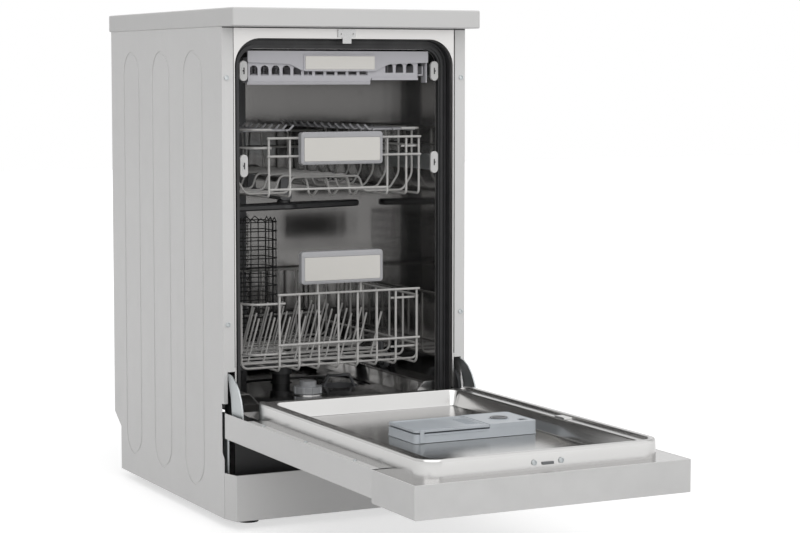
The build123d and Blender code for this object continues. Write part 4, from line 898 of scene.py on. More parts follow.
@dataclass
class Assembly:
    """A sub-assembly, whose pieces take their finishes from one palette."""

    palette: Palette

    def hand_in(self, work: Work, body: str, slot: str, *nodes: str,
                angle: float = 35.0) -> bpy.types.Object:
        """Finishes a piece and gives it to the frame.

        Args:
            work: The piece on the bench.
            body: The body that it rides on.
            slot: The material slot of its finish.
            *nodes: The CAD nodes that it stands for.
            angle: The angle up to which its faces shade as one.

        Returns:
            The finished object.
        """
        piece = work.finish(angle)
        self.palette.dress_piece(piece, slot)
        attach(piece, body)
        if nodes:
            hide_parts(*nodes)
        LOG.info("%s: %d faces on %s", piece.name, len(piece.data.polygons), body)
        return piece

    def softened(self, node: str, body: str, width: float, steps: int = 2,
                 angle: float = 35.0) -> bpy.types.Object:
        """Replaces a CAD node by a copy of it with rounded edges.

        Args:
            node: The CAD node.
            body: The body that it rides on.
            width: How wide its edges are rounded.
            steps: The number of faces across a rounded edge.
            angle: The angle from which an edge is rounded.

        Returns:
            The finished object.
        """
        source = frame["nodes"][node]
        slot = slot_of(source.material_slots[0])
        work = from_node(f"{node}_formed", source).soften(width, steps, angle)
        return self.hand_in(work, body, slot, node)

    def screws(self, node: str, body: str) -> None:
        """Replaces a node's screw heads by ones with a raised rim and a driver's recess.

        Args:
            node: The CAD node of the screws.
            body: The body that they ride on.
        """
        work = from_node(f"{node}_driven", frame["nodes"][node])
        work.faces(lambda at, out: (out.y < -SQUARE and at.y < CABINET_SCREW_HEADS)
                   or (out.z > SQUARE and at.z > DOOR_SCREW_HEADS))
        work.inset(0.5, 0.25).inset(0.7, -0.1).inset(0.3, -1.2)
        self.hand_in(work, body, "zinc_steel", node)

    def pull_plate(self, name: str, node: str, body: str, low: Point, high: Point) -> None:
        """Models a pull's brushed plate, with round corners and a rolled edge.

        Args:
            name: The piece's name.
            node: The CAD node that it stands for.
            body: The body that it rides on.
            low: Its lower corner.
            high: Its upper corner.
        """
        work = Work(name).block(low, high)
        work.along("y").bevel(1.5, 3)
        work.facing("y", -1).inset(0.5, 0.3)
        self.hand_in(work.sound(), body, "plate_metal", node)


@dataclass
class WireRack(Assembly):
    """What both racks share: coated wires, the pull with its plate, and the side loops."""

    front: float = -213.0
    rear: float = 205.0
    edge: float = 164.0
    wire: float = 2.0
    crossing: float = 3.6
    rim_gap: float = 3.2
    loop_turn: float = 14.0
    loop_run: float = 22.0
    pull_half: float = 75.0
    pull_tall: float = 27.0
    pull_front: float = -231.3
    pull_back: float = -218.6
    plate_edge: float = 5.4
    plate_drop: float = 4.0

    def bend(self, work: Work, radius: float) -> None:
        """Rounds every bend of the wires drawn so far.

        Args:
            work: The wires on the bench.
            radius: The radius of a bend.
        """
        work.everything()
        form = bmesh.from_edit_mesh(work.mesh)
        for vert in form.verts:
            vert.select_set(len(vert.link_edges) == 2)
        form.select_flush_mode()
        bmesh.update_edit_mesh(work.mesh)
        work.bevel(radius, 4, corners=True)

    def side_loop(self, work: Work, level: float, left: float, right: float) -> None:
        """Draws the two wires that wrap round the front corners at one level.

        Args:
            work: The wires on the bench.
            level: The height of the wires.
            left: Where the left one starts, from the middle.
            right: Where the right one starts.
        """
        near, turn = self.front + self.crossing, self.edge - self.loop_turn
        for side, reach in ((-1, left), (1, right)):
            work.path([(side * reach, near, level), (side * turn, near, level),
                       (side * self.edge, near + self.loop_run, level),
                       (side * self.edge, self.rear, level)])

    def rims(self, work: Work, levels: Sequence[float], left: float, right: float) -> None:
        """Draws the front and rear rim wires at several levels.

        Args:
            work: The wires on the bench.
            levels: The heights of the rims.
            left: The left end of the front wires.
            right: Their right end.
        """
        near, far = self.front - self.rim_gap, self.rear + self.rim_gap
        for level in levels:
            work.path([(left, near, level), (right, near, level)])
            work.path([(-self.edge, far, level), (self.edge, far, level)])

    def row(self, work: Work, places: Sequence[float],
            route: Sequence[tuple[float, float]]) -> None:
        """Draws a wire along a route of (x, z), once at each place in the rack's depth.

        Args:
            work: The wires on the bench.
            places: Where the wire runs in depth.
            route: Its points, as (x, z).
        """
        work.path([(x, places[0], z) for x, z in route])
        for before, after in zip(places, places[1:]):
            work.copy((0.0, after - before, 0.0))

    def pull(self, name: str, middle: float, body: str) -> None:
        """Models a pull: a hollow frame with a rounded lip, and its brushed plate.

        Args:
            name: The rack's name, as its nodes write it.
            middle: The height of the pull's middle.
            body: The body that it rides on.
        """
        half, tall, front, edge = self.pull_half, self.pull_tall, self.pull_front, self.plate_edge
        mouth = tall - 5.0
        work = Work(f"{name}_pull")
        work.block((-half, front + 1.5, middle - tall), (half, self.pull_back, middle + tall))
        work.along("y").bevel(5.0, 4)
        work.facing("y", -1).inset(3.0, 1.5).inset(2.0)
        work.resize((1.0, 1.0, 1.0 - self.plate_drop / (2 * mouth)), (0.0, front, middle - mouth))
        work.inset(0.4, -1.4)
        work.facing("y", 1).inset(3.0).extrude((0.0, -8.0, 0.0))
        work.soften(0.5, 2, 40.0)
        self.hand_in(work.sound(), body, "pull_plastic", f"{name}_basket_handle")
        self.pull_plate(f"{name}_pull_plate", f"{name}_handle_plate", body,
                        (-half + edge, front + 0.1, middle - tall + edge),
                        (half - edge, front + 1.3, middle + tall - edge - self.plate_drop))


@dataclass
class LowerRack(WireRack):
    """Lower rack: wires, leaning tines, wheels on their brackets, and the cutlery basket."""

    floor: float = 245.0
    rim: float = 373.0
    middle: float = 289.0
    drop: float = 15.0
    floor_wires: tuple[float, ...] = (-108.0, -72.0, -36.0, 0.0, 36.0, 72.0, 108.0, 148.0)
    cross_wires: tuple[float, float, int] = (-183.0, 191.0, 8)
    rim_ends: tuple[float, float] = (-112.0, 152.0)
    loop_ends: tuple[float, float] = (96.0, 100.0)
    bend_radius: float = 11.0
    pull_level: float = 417.0
    upright: float = 40.0
    upright_top: float = 428.0
    tine_rows: tuple[float, ...] = (-120.0, -40.0, 40.0, 112.0)
    tine_pitch: float = 29.0
    tine_count: int = 9
    tine_height: float = 75.0
    tine_shift: float = 21.5
    tine_wire: float = 1.8
    tine_bar: float = 156.0
    bar_gap: float = 4.1
    wheel_x: float = 176.0
    wheel_radius: float = 16.0
    wheel_half: float = 4.4
    wheel_level: float = 227.3
    wheel_places: tuple[tuple[str, float], ...] = (("front", -30.0), ("rear", 180.0))
    tyre: float = 2.6
    hub: float = 5.2
    spokes: int = 5
    bracket_x: tuple[float, float] = (166.2, 171.0)
    bracket_half: float = 9.0
    basket_low: Point = (-98.8, 129.2, 252.2)
    basket_high: Point = (38.8, 198.8, 468.6)
    basket_peak: float = 475.6
    basket_bar: float = 1.0

    def build(self) -> None:
        """Models every piece of the lower rack."""
        self.wirework()
        self.brackets()
        self.tines()
        self.pull("lower", self.pull_level, "lower_rack")
        self.wheels()
        self.cutlery_basket()

    def wirework(self) -> None:
        """Bent floor wires, rims, side loops and the pull's uprights."""
        work = Work("lower_rack_wires")
        for x in self.floor_wires:
            work.path([(x, self.front, self.rim), (x, self.front, self.floor),
                       (x, self.rear, self.floor), (x, self.rear, self.rim)])
        over, top = self.floor + self.crossing, self.rim - self.drop
        self.row(work, spread(*self.cross_wires),
                 [(-self.edge, top), (-self.edge, over), (self.edge, over), (self.edge, top)])
        for level in (self.rim, self.middle):
            self.side_loop(work, level - self.drop, *self.loop_ends)
        self.bend(work, self.bend_radius)
        self.rims(work, (self.rim, self.middle), *self.rim_ends)
        for x in (-self.upright, self.upright):
            work.path([(x, self.front - self.rim_gap, self.rim),
                       (x, self.front - self.rim_gap, self.upright_top)])
        work.wires(self.wire)
        self.hand_in(work, "lower_rack", "rack_coating", "lower_basket")

    def brackets(self) -> None:
        """Moulded brackets at the rack's sides, each with a wheel's axle."""
        work = Work("wheel_brackets")
        (left, right), half = self.bracket_x, self.bracket_half
        low, high = self.wheel_level - 7.0, self.floor + 14.0
        for _, y in self.wheel_places:
            def here(at: Vector, y: float = y) -> bool:
                """Whether a place is at this wheel's bracket."""
                return abs(at.y - y) < half + 1.0

            work.block((left, y - half, low), (right, y + half, high))
            work.along("x", where=lambda a, b: max(a.z, b.z) < low + 1.0 and here(a)).bevel(6.0, 4)
            work.facing("x", 1, here).inset(2.5, -0.8)
            work.drum((174.0, y, self.wheel_level), 3.0, 14.0, Axis.X, 20)
        work.other_side().soften(0.6, 2, 50.0)
        self.hand_in(work.sound(), "lower_rack", "grey_plastic")

    def tines(self) -> None:
        """Rows of leaning plate tines, each on its bar."""
        work = Work("plate_tines")
        foot, half = self.floor + self.bar_gap, self.tine_shift / 2
        first = -self.tine_pitch * (self.tine_count - 1) / 2
        y = self.tine_rows[0]
        work.path([(first - half, y, foot), (first + half, y, foot + self.tine_height)])
        for _ in range(self.tine_count - 1):
            work.copy((self.tine_pitch, 0.0, 0.0))
        work.path([(-self.tine_bar, y, foot), (self.tine_bar, y, foot)])
        work.everything()
        for before, after in zip(self.tine_rows, self.tine_rows[1:]):
            work.copy((0.0, after - before, 0.0))
        work.wires(self.tine_wire)
        self.hand_in(work, "lower_rack", "rack_coating", "lower_basket_tines")

    def wheel(self, name: str, side: int, y: float) -> Work:
        """Models one wheel: tyre, spokes and hub.

        Args:
            name: The piece's name.
            side: -1 for the left side of the machine, 1 for the right.
            y: The wheel's depth.

        Returns:
            The wheel on the bench.
        """
        work = Work(name)
        at = (side * self.wheel_x, y, self.wheel_level)
        work.drum(at, self.wheel_radius, 2 * self.wheel_half, Axis.X, 40)
        work.faces(lambda mid, out: abs(out.x) > FACING).remove()
        work.everything().thicken(self.tyre)
        for spoke in range(self.spokes):
            work.block((at[0] - 2.4, y - 1.3, at[2] + self.hub - 1.0),
                       (at[0] + 2.4, y + 1.3, at[2] + self.wheel_radius - 2.0))
            work.turn(360.0 / self.spokes * spoke, at, "X")
        work.drum(at, self.hub, 2 * self.wheel_half - 0.6, Axis.X, 24)
        work.faces(lambda mid, out: abs(out.x) > FACING
                   and (mid.yz - Vector(at[1:])).length < 1.0).inset(1.9, -0.8)
        return work.soften(0.5, 2, 40.0).sound()

    def wheels(self) -> None:
        """The four wheels, each on its own axle's body."""
        for place, y in self.wheel_places:
            for side in Side:
                body = f"{place}_wheel_{side.word}"
                work = self.wheel(f"{body}_spoked", side.value, y)
                self.hand_in(work, body, "grey_plastic", body)

    def zigzag(self, first: float, last: float, teeth: int) -> list[tuple[float, float]]:
        """The basket's rim, as its places along a wall and their heights."""
        heights = (self.basket_high[2], self.basket_peak)
        return [(place, heights[i % 2]) for i, place in enumerate(spread(first, last, teeth))]

    def cutlery_basket(self) -> None:
        """Tall open basket of thin black bars with rounded corners and a zigzag rim."""
        work = Work("cutlery_basket_bars")
        left, near, low = self.basket_low
        right, far, top = self.basket_high
        for z in spread(low, top, 14):
            work.path([(left, near, z), (right, near, z), (right, far, z), (left, far, z)],
                      closed=True)
        self.bend(work, 9.0)
        for x in spread(left + 10.0, right - 10.0, 9):
            work.path([(x, near, top), (x, near, low), (x, far, low), (x, far, top)])
        for y in spread(near + 10.0, far - 10.0, 4):
            work.path([(left, y, top), (left, y, low), (right, y, low), (right, y, top)])
        for y in (near, far):
            work.path([(x, y, z) for x, z in self.zigzag(left + 8.0, right - 8.0, 15)])
        for x in (left, right):
            work.path([(x, y, z) for y, z in self.zigzag(near + 8.0, far - 8.0, 7)])
        work.wires(self.basket_bar, 1)
        self.hand_in(work, "cutlery_basket", "black_plastic", "cutlery_basket")


@dataclass
class UpperRack(WireRack):
    """Upper rack: stepped wires, glides, water tube, and the two folding cup shelves."""

    floor: float = 536.0
    rim: float = 633.0
    middle: float = 603.0
    hump: float = 562.0
    hump_half: float = 62.0
    rise: float = 12.0
    floor_wires: tuple[float, ...] = (-126.0, -88.0, 92.0, 128.0, 152.0)
    hump_wires: tuple[float, ...] = (-38.0, 0.0, 38.0)
    cross_wires: tuple[float, float, int] = (-163.0, 191.0, 8)
    rim_ends: tuple[float, float] = (-130.0, 154.0)
    loop_ends: tuple[float, float] = (120.0, 120.0)
    loop_rise: float = 14.0
    shoulder: float = 26.0
    slope: float = 10.0
    bend_radius: float = 7.0
    pull_level: float = 616.0
    tube_low: Point = (-11.0, 3.0, 516.3)
    tube_high: Point = (11.0, 211.0, 530.3)
    strap_y: tuple[float, ...] = (15.0, 165.0)
    strap_half: tuple[float, float] = (9.0, 6.0)
    strap_foot: float = 528.0
    strap_top: float = 560.0
    glide_y: tuple[float, ...] = (60.0, 190.0)
    glide_level: float = 589.0
    shelf_level: float = 645.0
    shelf_hinge: float = 158.0
    shelf_bars: tuple[float, ...] = (119.4, 80.7)
    shelf_inner: float = 66.0
    shelf_front: float = -184.0
    shelf_rear: float = 184.0
    shelf_wire: float = 1.9
    tip: float = 8.0
    eyes: tuple[int, ...] = (0, 5, 11)

    def build(self) -> None:
        """Models every piece of the upper rack."""
        self.wirework()
        self.feed_tube()
        self.glide_plates()
        self.pull("upper", self.pull_level, "upper_rack")
        for side in Side:
            self.cup_shelf(side)

    def wirework(self) -> None:
        """Bent wires with the hump over the spray arm, rims and side loops."""
        work = Work("upper_rack_wires")
        front, rear, edge, floor = self.front, self.rear, self.edge, self.floor
        for x in self.floor_wires:
            work.path([(x, front, self.rim), (x, front, floor), (x, rear, floor),
                       (x, rear, self.rim)])
        for x in self.hump_wires:
            work.path([(x, front, floor + self.rise), (x, front + 16, floor),
                       (x, front + 34, floor), (x, front + 44, self.hump),
                       (x, rear - 12, self.hump), (x, rear, self.rim)])
        over, top, high = floor + self.crossing, self.rim + 15, self.hump + self.crossing
        half, foot, knee = self.hump_half, self.hump_half + self.slope, edge - 18
        self.row(work, spread(*self.cross_wires),
                 [(-edge, top), (-edge, over + self.shoulder), (-knee, over), (-foot, over),
                  (-half, high), (half, high), (foot, over), (knee, over),
                  (edge, over + self.shoulder), (edge, top)])
        for level in (self.rim, self.middle):
            self.side_loop(work, level + self.loop_rise, *self.loop_ends)
        self.bend(work, self.bend_radius)
        self.rims(work, (self.rim, self.middle), *self.rim_ends)
        work.path([(x, front, floor + self.rise) for x in (-126.0, 92.0)])
        work.wires(self.wire)
        self.hand_in(work, "upper_rack", "rack_coating", "upper_basket")

    def feed_tube(self) -> None:
        """Water tube under the rack, with the straps that hold it."""
        work = Work("feed_tube").block(self.tube_low, self.tube_high)
        work.along("y").bevel(5.0, 4)
        wide, deep = self.strap_half
        for y in self.strap_y:
            work.block((-wide, y - deep, self.strap_foot), (wide, y + deep, self.strap_top))
            work.facing("z", 1, lambda at, y=y: abs(at.y - y) < deep / 2)
            work.resize((0.7, 0.8, 1.0), (0.0, y, self.strap_top))
        work.soften(0.8, 2, 45.0)
        self.hand_in(work.sound(), "upper_rack", "grey_plastic")

    def glide_plates(self) -> None:
        """The glides' side plates, and the eyes that carry the cup shelves' rods."""
        work = Work("rack_glide_plates")
        level = self.glide_level
        for y in self.glide_y:
            work.block((166.0, y - 20.0, level - 13.0), (168.5, y + 20.0, level + 13.0))
            work.along("x", 1.0, lambda a, b, y=y: abs(a.y - y) < 21).bevel(5.0, 4)
            work.block((166.0, y - 11.0, level - 6.5), (171.0, y + 11.0, level + 6.5))
        first, pitch = self.shelf_front + 6, (self.shelf_rear - self.shelf_front - 12) / 12
        for y in [first + i * pitch + 14.8 for i in self.eyes]:
            work.drum((self.shelf_hinge, y, self.shelf_level), 4.2, 7.6, Axis.Y, 24)
            work.block((self.shelf_hinge, y - 3.8, self.shelf_level - 3.0),
                       (162.4, y + 3.8, self.shelf_level + 3.0))
        work.other_side().soften(0.5, 2, 45.0)
        self.hand_in(work.sound(), "upper_rack", "grey_plastic")

    def cup_shelf(self, side: Side) -> None:
        """Folding cup shelf: rod, two long bars, and ribs with upturned tips.

        Args:
            side: The side of the machine that it folds on.
        """
        name = f"cup_shelf_{side.word}"
        work = Work(f"{name}_wires")
        s, level = side.value, self.shelf_level
        for x in (self.shelf_hinge, *self.shelf_bars):
            work.path([(s * x, self.shelf_front, level), (s * x, self.shelf_rear, level)])
        self.row(work, spread(self.shelf_front + 6, self.shelf_rear - 6, 13),
                 [(s * self.shelf_hinge, level), (s * (self.shelf_inner + self.tip), level),
                  (s * self.shelf_inner, level + self.tip)])
        work.wires(self.shelf_wire)
        self.hand_in(work, name, "pull_plastic", name)


@dataclass
class CutleryTray(Assembly):
    """Cutlery tray under the tub's ceiling: wavy front bar, lattice floor, combs and slides."""

    half: float = 160.0
    front: float = -213.0
    rear: float = 205.0
    top: float = 777.0
    floor: float = 736.0
    wall: float = 1.8
    wall_top: float = 752.0
    rib: float = 6.0
    rows: int = 9
    columns: int = 8
    divider: float = 53.0
    comb_rows: tuple[int, ...] = (2, 4, 6)
    comb: tuple[float, float] = (61.0, 150.0)
    comb_half: float = 2.0
    slide_y: tuple[float, ...] = (60.0, 190.0)
    bar_half: float = 166.0
    bar_right: float = 148.0
    bar_low: float = 726.0
    bar_high: float = 765.0
    step: tuple[float, float] = (58.0, 61.0)
    step_low: float = 732.0
    crest: float = 758.0
    sweep: float = 4.0
    dip: float = 11.0
    dip_from: float = 96.0
    dip_run: float = 34.0
    left_arches: tuple[float, ...] = (-153.5, -134.0, -114.5, -95.0, -75.5)
    right_arches: tuple[float, ...] = (94.0, 113.5, 133.0)
    arch_width: float = 14.0
    window_low: float = 736.5
    plate_half: float = 63.6

    def build(self) -> None:
        """Models every piece of the tray."""
        self.fascia()
        self.arched_wall()
        self.basket()
        front = self.front - 10.3
        self.pull_plate("tray_pull_plate", "tray_handle_plate", "cutlery_tray",
                        (-self.plate_half, front, 746.4), (self.plate_half, front + 1.0, 768.6))

    def edge_line(self) -> list[tuple[float, float]]:
        """The fascia's lower edge: high at the ends, an S-curve each side, deep in the middle.

        Returns:
            The edge's points, as (x, z), from left to right.
        """
        line = []
        for x in spread(-self.bar_half, self.bar_half, 41):
            share = min(1.0, max(0.0, (self.dip_from - abs(x)) / self.dip_run))
            sag = self.sweep * (1.0 - (abs(x) / self.bar_half) ** 2)
            line.append((x, self.crest - sag - self.dip * share * share * (3.0 - 2.0 * share)))
        return line

    def fascia(self) -> None:
        """The front bar's face with its sweeping lower edge, the pull's frame and the top."""
        work = Work("tray_fascia")
        half, frame_half, y = self.bar_half, self.plate_half + 3.0, self.front - 8.0
        work.path([(-half, y, self.top), *[(x, y, z) for x, z in self.edge_line()],
                   (half, y, self.top)], closed=True)
        work.fill().extrude((0.0, 2.6, 0.0)).sound()
        work.block((-frame_half, y - 1.6, 743.5), (frame_half, y + 0.4, 771.5))
        work.along("y", 1.5, lambda a, b: min(a.y, b.y) < y - 1).bevel(2.5, 3)
        work.block((-half, y + 2.0, self.top - 2.4), (half, self.front, self.top))
        work.soften(0.6, 2, 40.0)
        self.hand_in(work.sound(), "cutlery_tray", "tray_plastic", "cutlery_tray")

    def arch(self, work: Work, x: float, low: float, high: float) -> None:
        """Draws an arched window's outline in the bar's rear wall.

        Args:
            work: The outlines on the bench.
            x: The window's middle.
            low: The height of its foot.
            high: The height of its crown.
        """
        radius, y = self.arch_width / 2, self.front - 3.5
        crown = [(x + radius * math.cos(math.radians(a)), y,
                  high - radius + radius * math.sin(math.radians(a)))
                 for a in range(0, 181, 15)]
        work.path([(x + radius, y, low), *crown, (x - radius, y, low)], closed=True)

    def arched_wall(self) -> None:
        """The bar's rear wall with its rows of windows, and the lip below it."""
        work = Work("tray_arched_wall")
        half, right, y = self.bar_half, self.bar_right, self.front - 3.5
        low, high = self.bar_low, self.bar_high
        (x0, x1), z1 = self.step, self.step_low
        work.path([(-half, y, low), (x0, y, low), (x1, y, z1), (right, y, z1), (right, y, high),
                   (-half, y, high)], closed=True)
        for x in self.left_arches:
            self.arch(work, x, self.window_low, 753.0)
        for x in self.right_arches:
            self.arch(work, x, 741.0, 757.0)
        for x in spread(-56.0, 46.0, 6):
            work.path([(x + dx, y, z) for dx, z in ((-7.5, self.window_low), (7.5, self.window_low),
                                                    (7.5, 747.0), (-7.5, 747.0))], closed=True)
        work.everything().fill().extrude((0.0, 2.2, 0.0)).sound()
        foot = low - 4.8
        work.block((-half, y - 2.6, foot), (x0, y + 2.2, low + 0.4))
        work.facing("z", -1, lambda at: at.z < foot + 0.8)
        work.resize((1.0, 0.5, 1.0), (0.0, y + 2.2, foot))
        work.block((x1, y - 2.0, z1 - 3.5), (right, y + 2.2, z1 + 0.4))
        for x in (-half, half - 2.6):
            work.block((x, y, low - 2.0), (x + 2.6, self.front + 14.0, high + 1.0))
        work.soften(0.5, 2, 40.0)
        self.hand_in(work.sound(), "cutlery_tray", "tray_plastic")

    def lattice(self, work: Work) -> None:
        """The slotted floor: a grid whose cells are inset and cut out.

        Args:
            work: The tray on the bench.
        """
        middle = (self.front + self.rear) / 2
        bpy.ops.mesh.primitive_grid_add(
            x_subdivisions=self.columns, y_subdivisions=self.rows, size=2 * self.half * MM,
            location=metres((0.0, middle, self.floor + 1.0)))
        deep = (self.rear - self.front) / (2 * self.half)
        work.resize((1.0, deep, 1.0), (0.0, middle, self.floor))
        bpy.ops.mesh.select_mode(type="FACE")
        bpy.ops.mesh.inset(thickness=self.rib / 2 * MM, use_individual=True)
        work.remove()
        work.everything().thicken(2.2, 0.0)

    def basket(self) -> None:
        """Slotted floor with raised ribs, low walls, dividers and three rows of combs."""
        work = Work("tray_basket")
        self.lattice(work)
        low, wall, (inner, outer), deep = self.floor + 0.5, self.wall, self.comb, self.comb_half
        for x, rise in ((self.half - wall, self.wall_top), (self.divider, self.wall_top - 4.0)):
            for side in (-1, 1):
                left, right = sorted((side * x, side * (x + wall)))
                work.block((left, self.front, low), (right, self.rear, rise))
        work.block((-self.half, self.rear - wall, low), (self.half, self.rear, self.wall_top))
        pitch = (self.rear - self.front - self.rib) / self.rows
        for row in self.comb_rows:
            y = self.front + self.rib / 2 + row * pitch
            for x in spread(inner, outer, 9):
                for side in (-1, 1):
                    work.block((side * x - 1.1, y - deep, low),
                               (side * x + 1.1, y + deep, self.wall_top + 4.0))
            for left, right in ((inner, outer), (-outer, -inner)):
                work.block((left, y - deep, low), (right, y + deep, low + 3.4))
        work.soften(0.4, 1, 45.0)
        for y in self.slide_y:
            for side in (-1, 1):
                left, right = sorted((side * 160.0, side * 171.0))
                work.block((left, y - 11.0, 739.5), (right, y + 11.0, 748.5))
        self.hand_in(work, "cutlery_tray", "tray_plastic")


@dataclass
class RailCaps(Assembly):
    """Oval end caps, each with a clip and a dark window, on the two pairs of rails."""

    rails: tuple[tuple[str, float, float], ...] = (("upper", 589.0, 18.0), ("tray", 744.0, 16.0))
    left: float = 168.7
    right: float = 182.3
    front: float = -226.4
    back: float = -221.6
    over: float = 0.5
    corner: float = 6.7
    clip_low: tuple[float, float] = (172.4, -227.0)
    clip_high: tuple[float, float] = (178.6, -225.0)
    clip_half: float = 7.0
    window_y: tuple[float, float] = (-226.9, -225.6)
    window_parts: tuple[tuple[float, float, float], ...] = (
        (173.8, 176.0, 5.4), (176.0, 177.4, 1.2))

    def build(self) -> None:
        """Models the caps of both pairs."""
        for name, level, half in self.rails:
            self.caps(name, level, half)
            self.windows(name, level)

    def caps(self, name: str, level: float, half: float) -> None:
        """Models one pair's caps, with their clips.

        Args:
            name: The rack's name.
            level: The height of the rails' middle.
            half: Half the height of a rail.
        """
        work = Work(f"{name}_rail_caps")
        reach = half + self.over
        (left, front), (right, back) = self.clip_low, self.clip_high
        work.block((self.left, self.front, level - reach), (self.right, self.back, level + reach))
        work.along("y").bevel(self.corner, 8)
        work.facing("y", -1).inset(1.5, 0.4).inset(0.9, -0.5)
        work.block((left, front, level - self.clip_half), (right, back, level + self.clip_half))
        work.facing("y", -1, lambda at: at.y < front + 0.1).inset(1.2, -0.4)
        work.soften(0.35, 2, 40.0).other_side()
        self.hand_in(work.sound(), f"{name}_rails", "silver_plastic")

    def windows(self, name: str, level: float) -> None:
        """Models the dark windows in one pair's clips.

        Args:
            name: The rack's name.
            level: The height of the rails' middle.
        """
        work = Work(f"{name}_rail_windows")
        front, back = self.window_y
        for left, right, half in self.window_parts:
            work.block((left, front, level - half), (right, back, level + half))
        work.soften(0.2, 1, 40.0).other_side()
        self.hand_in(work.sound(), f"{name}_rails", "black_plastic")


@dataclass
class Dispenser(Assembly):
    """Detergent and rinse-aid dispenser in the door's tray."""

    left: float = -70.0
    right: float = 142.0
    near: float = -632.0
    far: float = -538.0
    low: float = 186.0
    top: float = 206.7
    corner: float = 7.0
    skirt: float = 0.7
    chamber_drop: float = 7.0
    lid_end: float = 58.0
    lid_gap: float = 0.4
    lid_drop: float = 0.6
    lid_thick: float = 4.0
    grooves: int = 4
    groove_pitch: float = 5.0
    sight_low: tuple[float, float] = (120.0, -618.0)
    sight_high: tuple[float, float] = (133.0, -606.0)
    post: tuple[float, float] = (-62.0, -55.0)
    dial: tuple[float, float] = (100.0, -585.0)
    dial_radius: float = 14.0

    def build(self) -> None:
        """Models the body, its lid and the rinse-aid dial."""
        self.body()
        self.lid()
        self.rinse_dial()

    def body(self) -> None:
        """Housing: skirt, chamber under the lid, raised right part, guide post and rib."""
        work = Work("dispenser_housing")
        left, right, near, far, low, top = (self.left, self.right, self.near, self.far, self.low,
                                            self.top)
        corner, skirt, end = self.corner, self.skirt, self.lid_end
        work.block((left - skirt, near - skirt, low), (right + skirt, far + skirt, low + 2 * skirt))
        work.along("z").bevel(corner, 5)
        work.block((left, near, low), (right, far, top - self.chamber_drop))
        work.along("z", 10.0).bevel(corner, 5)
        work.block((end + self.lid_gap, near, top - 8.0), (right, far, top))
        work.along("z", 6.0, lambda a, b: a.x > right - 1 and max(a.z, b.z) > top - 0.1)
        work.bevel(corner, 5)
        work.facing("z", 1, lambda at: at.x > end and at.z > top - 0.1).inset(1.6, 0.0)
        work.inset(0.6, -0.5)
        work.drum((*self.dial, top - 0.4), self.dial_radius + 2.6, 1.6, Axis.Z, 48)
        work.block((*self.sight_low, top - 0.8), (*self.sight_high, top + 0.2))
        work.facing("z", 1, lambda at: at.z > top).inset(1.6, -0.7)
        self.guides(work)
        work.soften(0.6, 2, 40.0)
        self.hand_in(work.sound(), "door", "dispenser_plastic", "dispenser_body")

    def guides(self, work: Work) -> None:
        """Adds the lid's catch, its guide post at the near corner, and the rib beside it.

        Args:
            work: The housing on the bench.
        """
        top, near, end = self.top, self.near, self.lid_end
        first, last = self.post
        work.block((end - 3.0, near + 8.0, top - 8.0), (end + 1.0, self.far - 8.0, top - 4.0))
        work.block((first, near - 1.8, self.low + 1.0), (last, near - 0.3, top + 0.2))
        work.block((last, near - 1.2, top - 9.4), (end - 4.0, near - 0.3, top - 8.0))

    def lid(self) -> None:
        """Sliding lid with a raised frame and finger grooves."""
        work = Work("dispenser_sliding_lid")
        top = self.top - self.lid_drop
        work.block((self.left, self.near, top - self.lid_thick),
                   (self.lid_end - 0.3, self.far, top))
        work.along("z", 2.0, lambda a, b: a.x < self.left + 1).bevel(self.corner, 5)
        work.facing("z", 1).inset(4.0).inset(1.2, -1.0)
        for step in range(self.grooves):
            x = self.lid_end - 26.0 + step * self.groove_pitch
            work.block((x, self.near + 22.0, top - 1.6), (x + 2.0, self.far - 22.0, top))
        work.soften(0.5, 2, 40.0)
        self.hand_in(work.sound(), "dispenser_lid", "dispenser_plastic", "dispenser_lid")

    def rinse_dial(self) -> None:
        """Rinse-aid dial: flat disc with a raised finger bar."""
        work = Work("rinse_dial")
        (x, y), top = self.dial, self.top
        work.drum((x, y, top + 0.2), self.dial_radius, 2.6, Axis.Z, 48)
        work.facing("z", 1).inset(1.4, -0.6)
        work.block((x - 11.0, y - 2.8, top - 0.4), (x + 11.0, y + 2.8, top + 2.4))
        work.facing("z", 1, lambda at: at.z > top + 2.3).resize((0.85, 0.5, 1.0), (x, y, top))
        work.soften(0.45, 2, 30.0)
        self.hand_in(work.sound(), "rinse_aid_dial", "grey_plastic", "rinse_aid_dial")


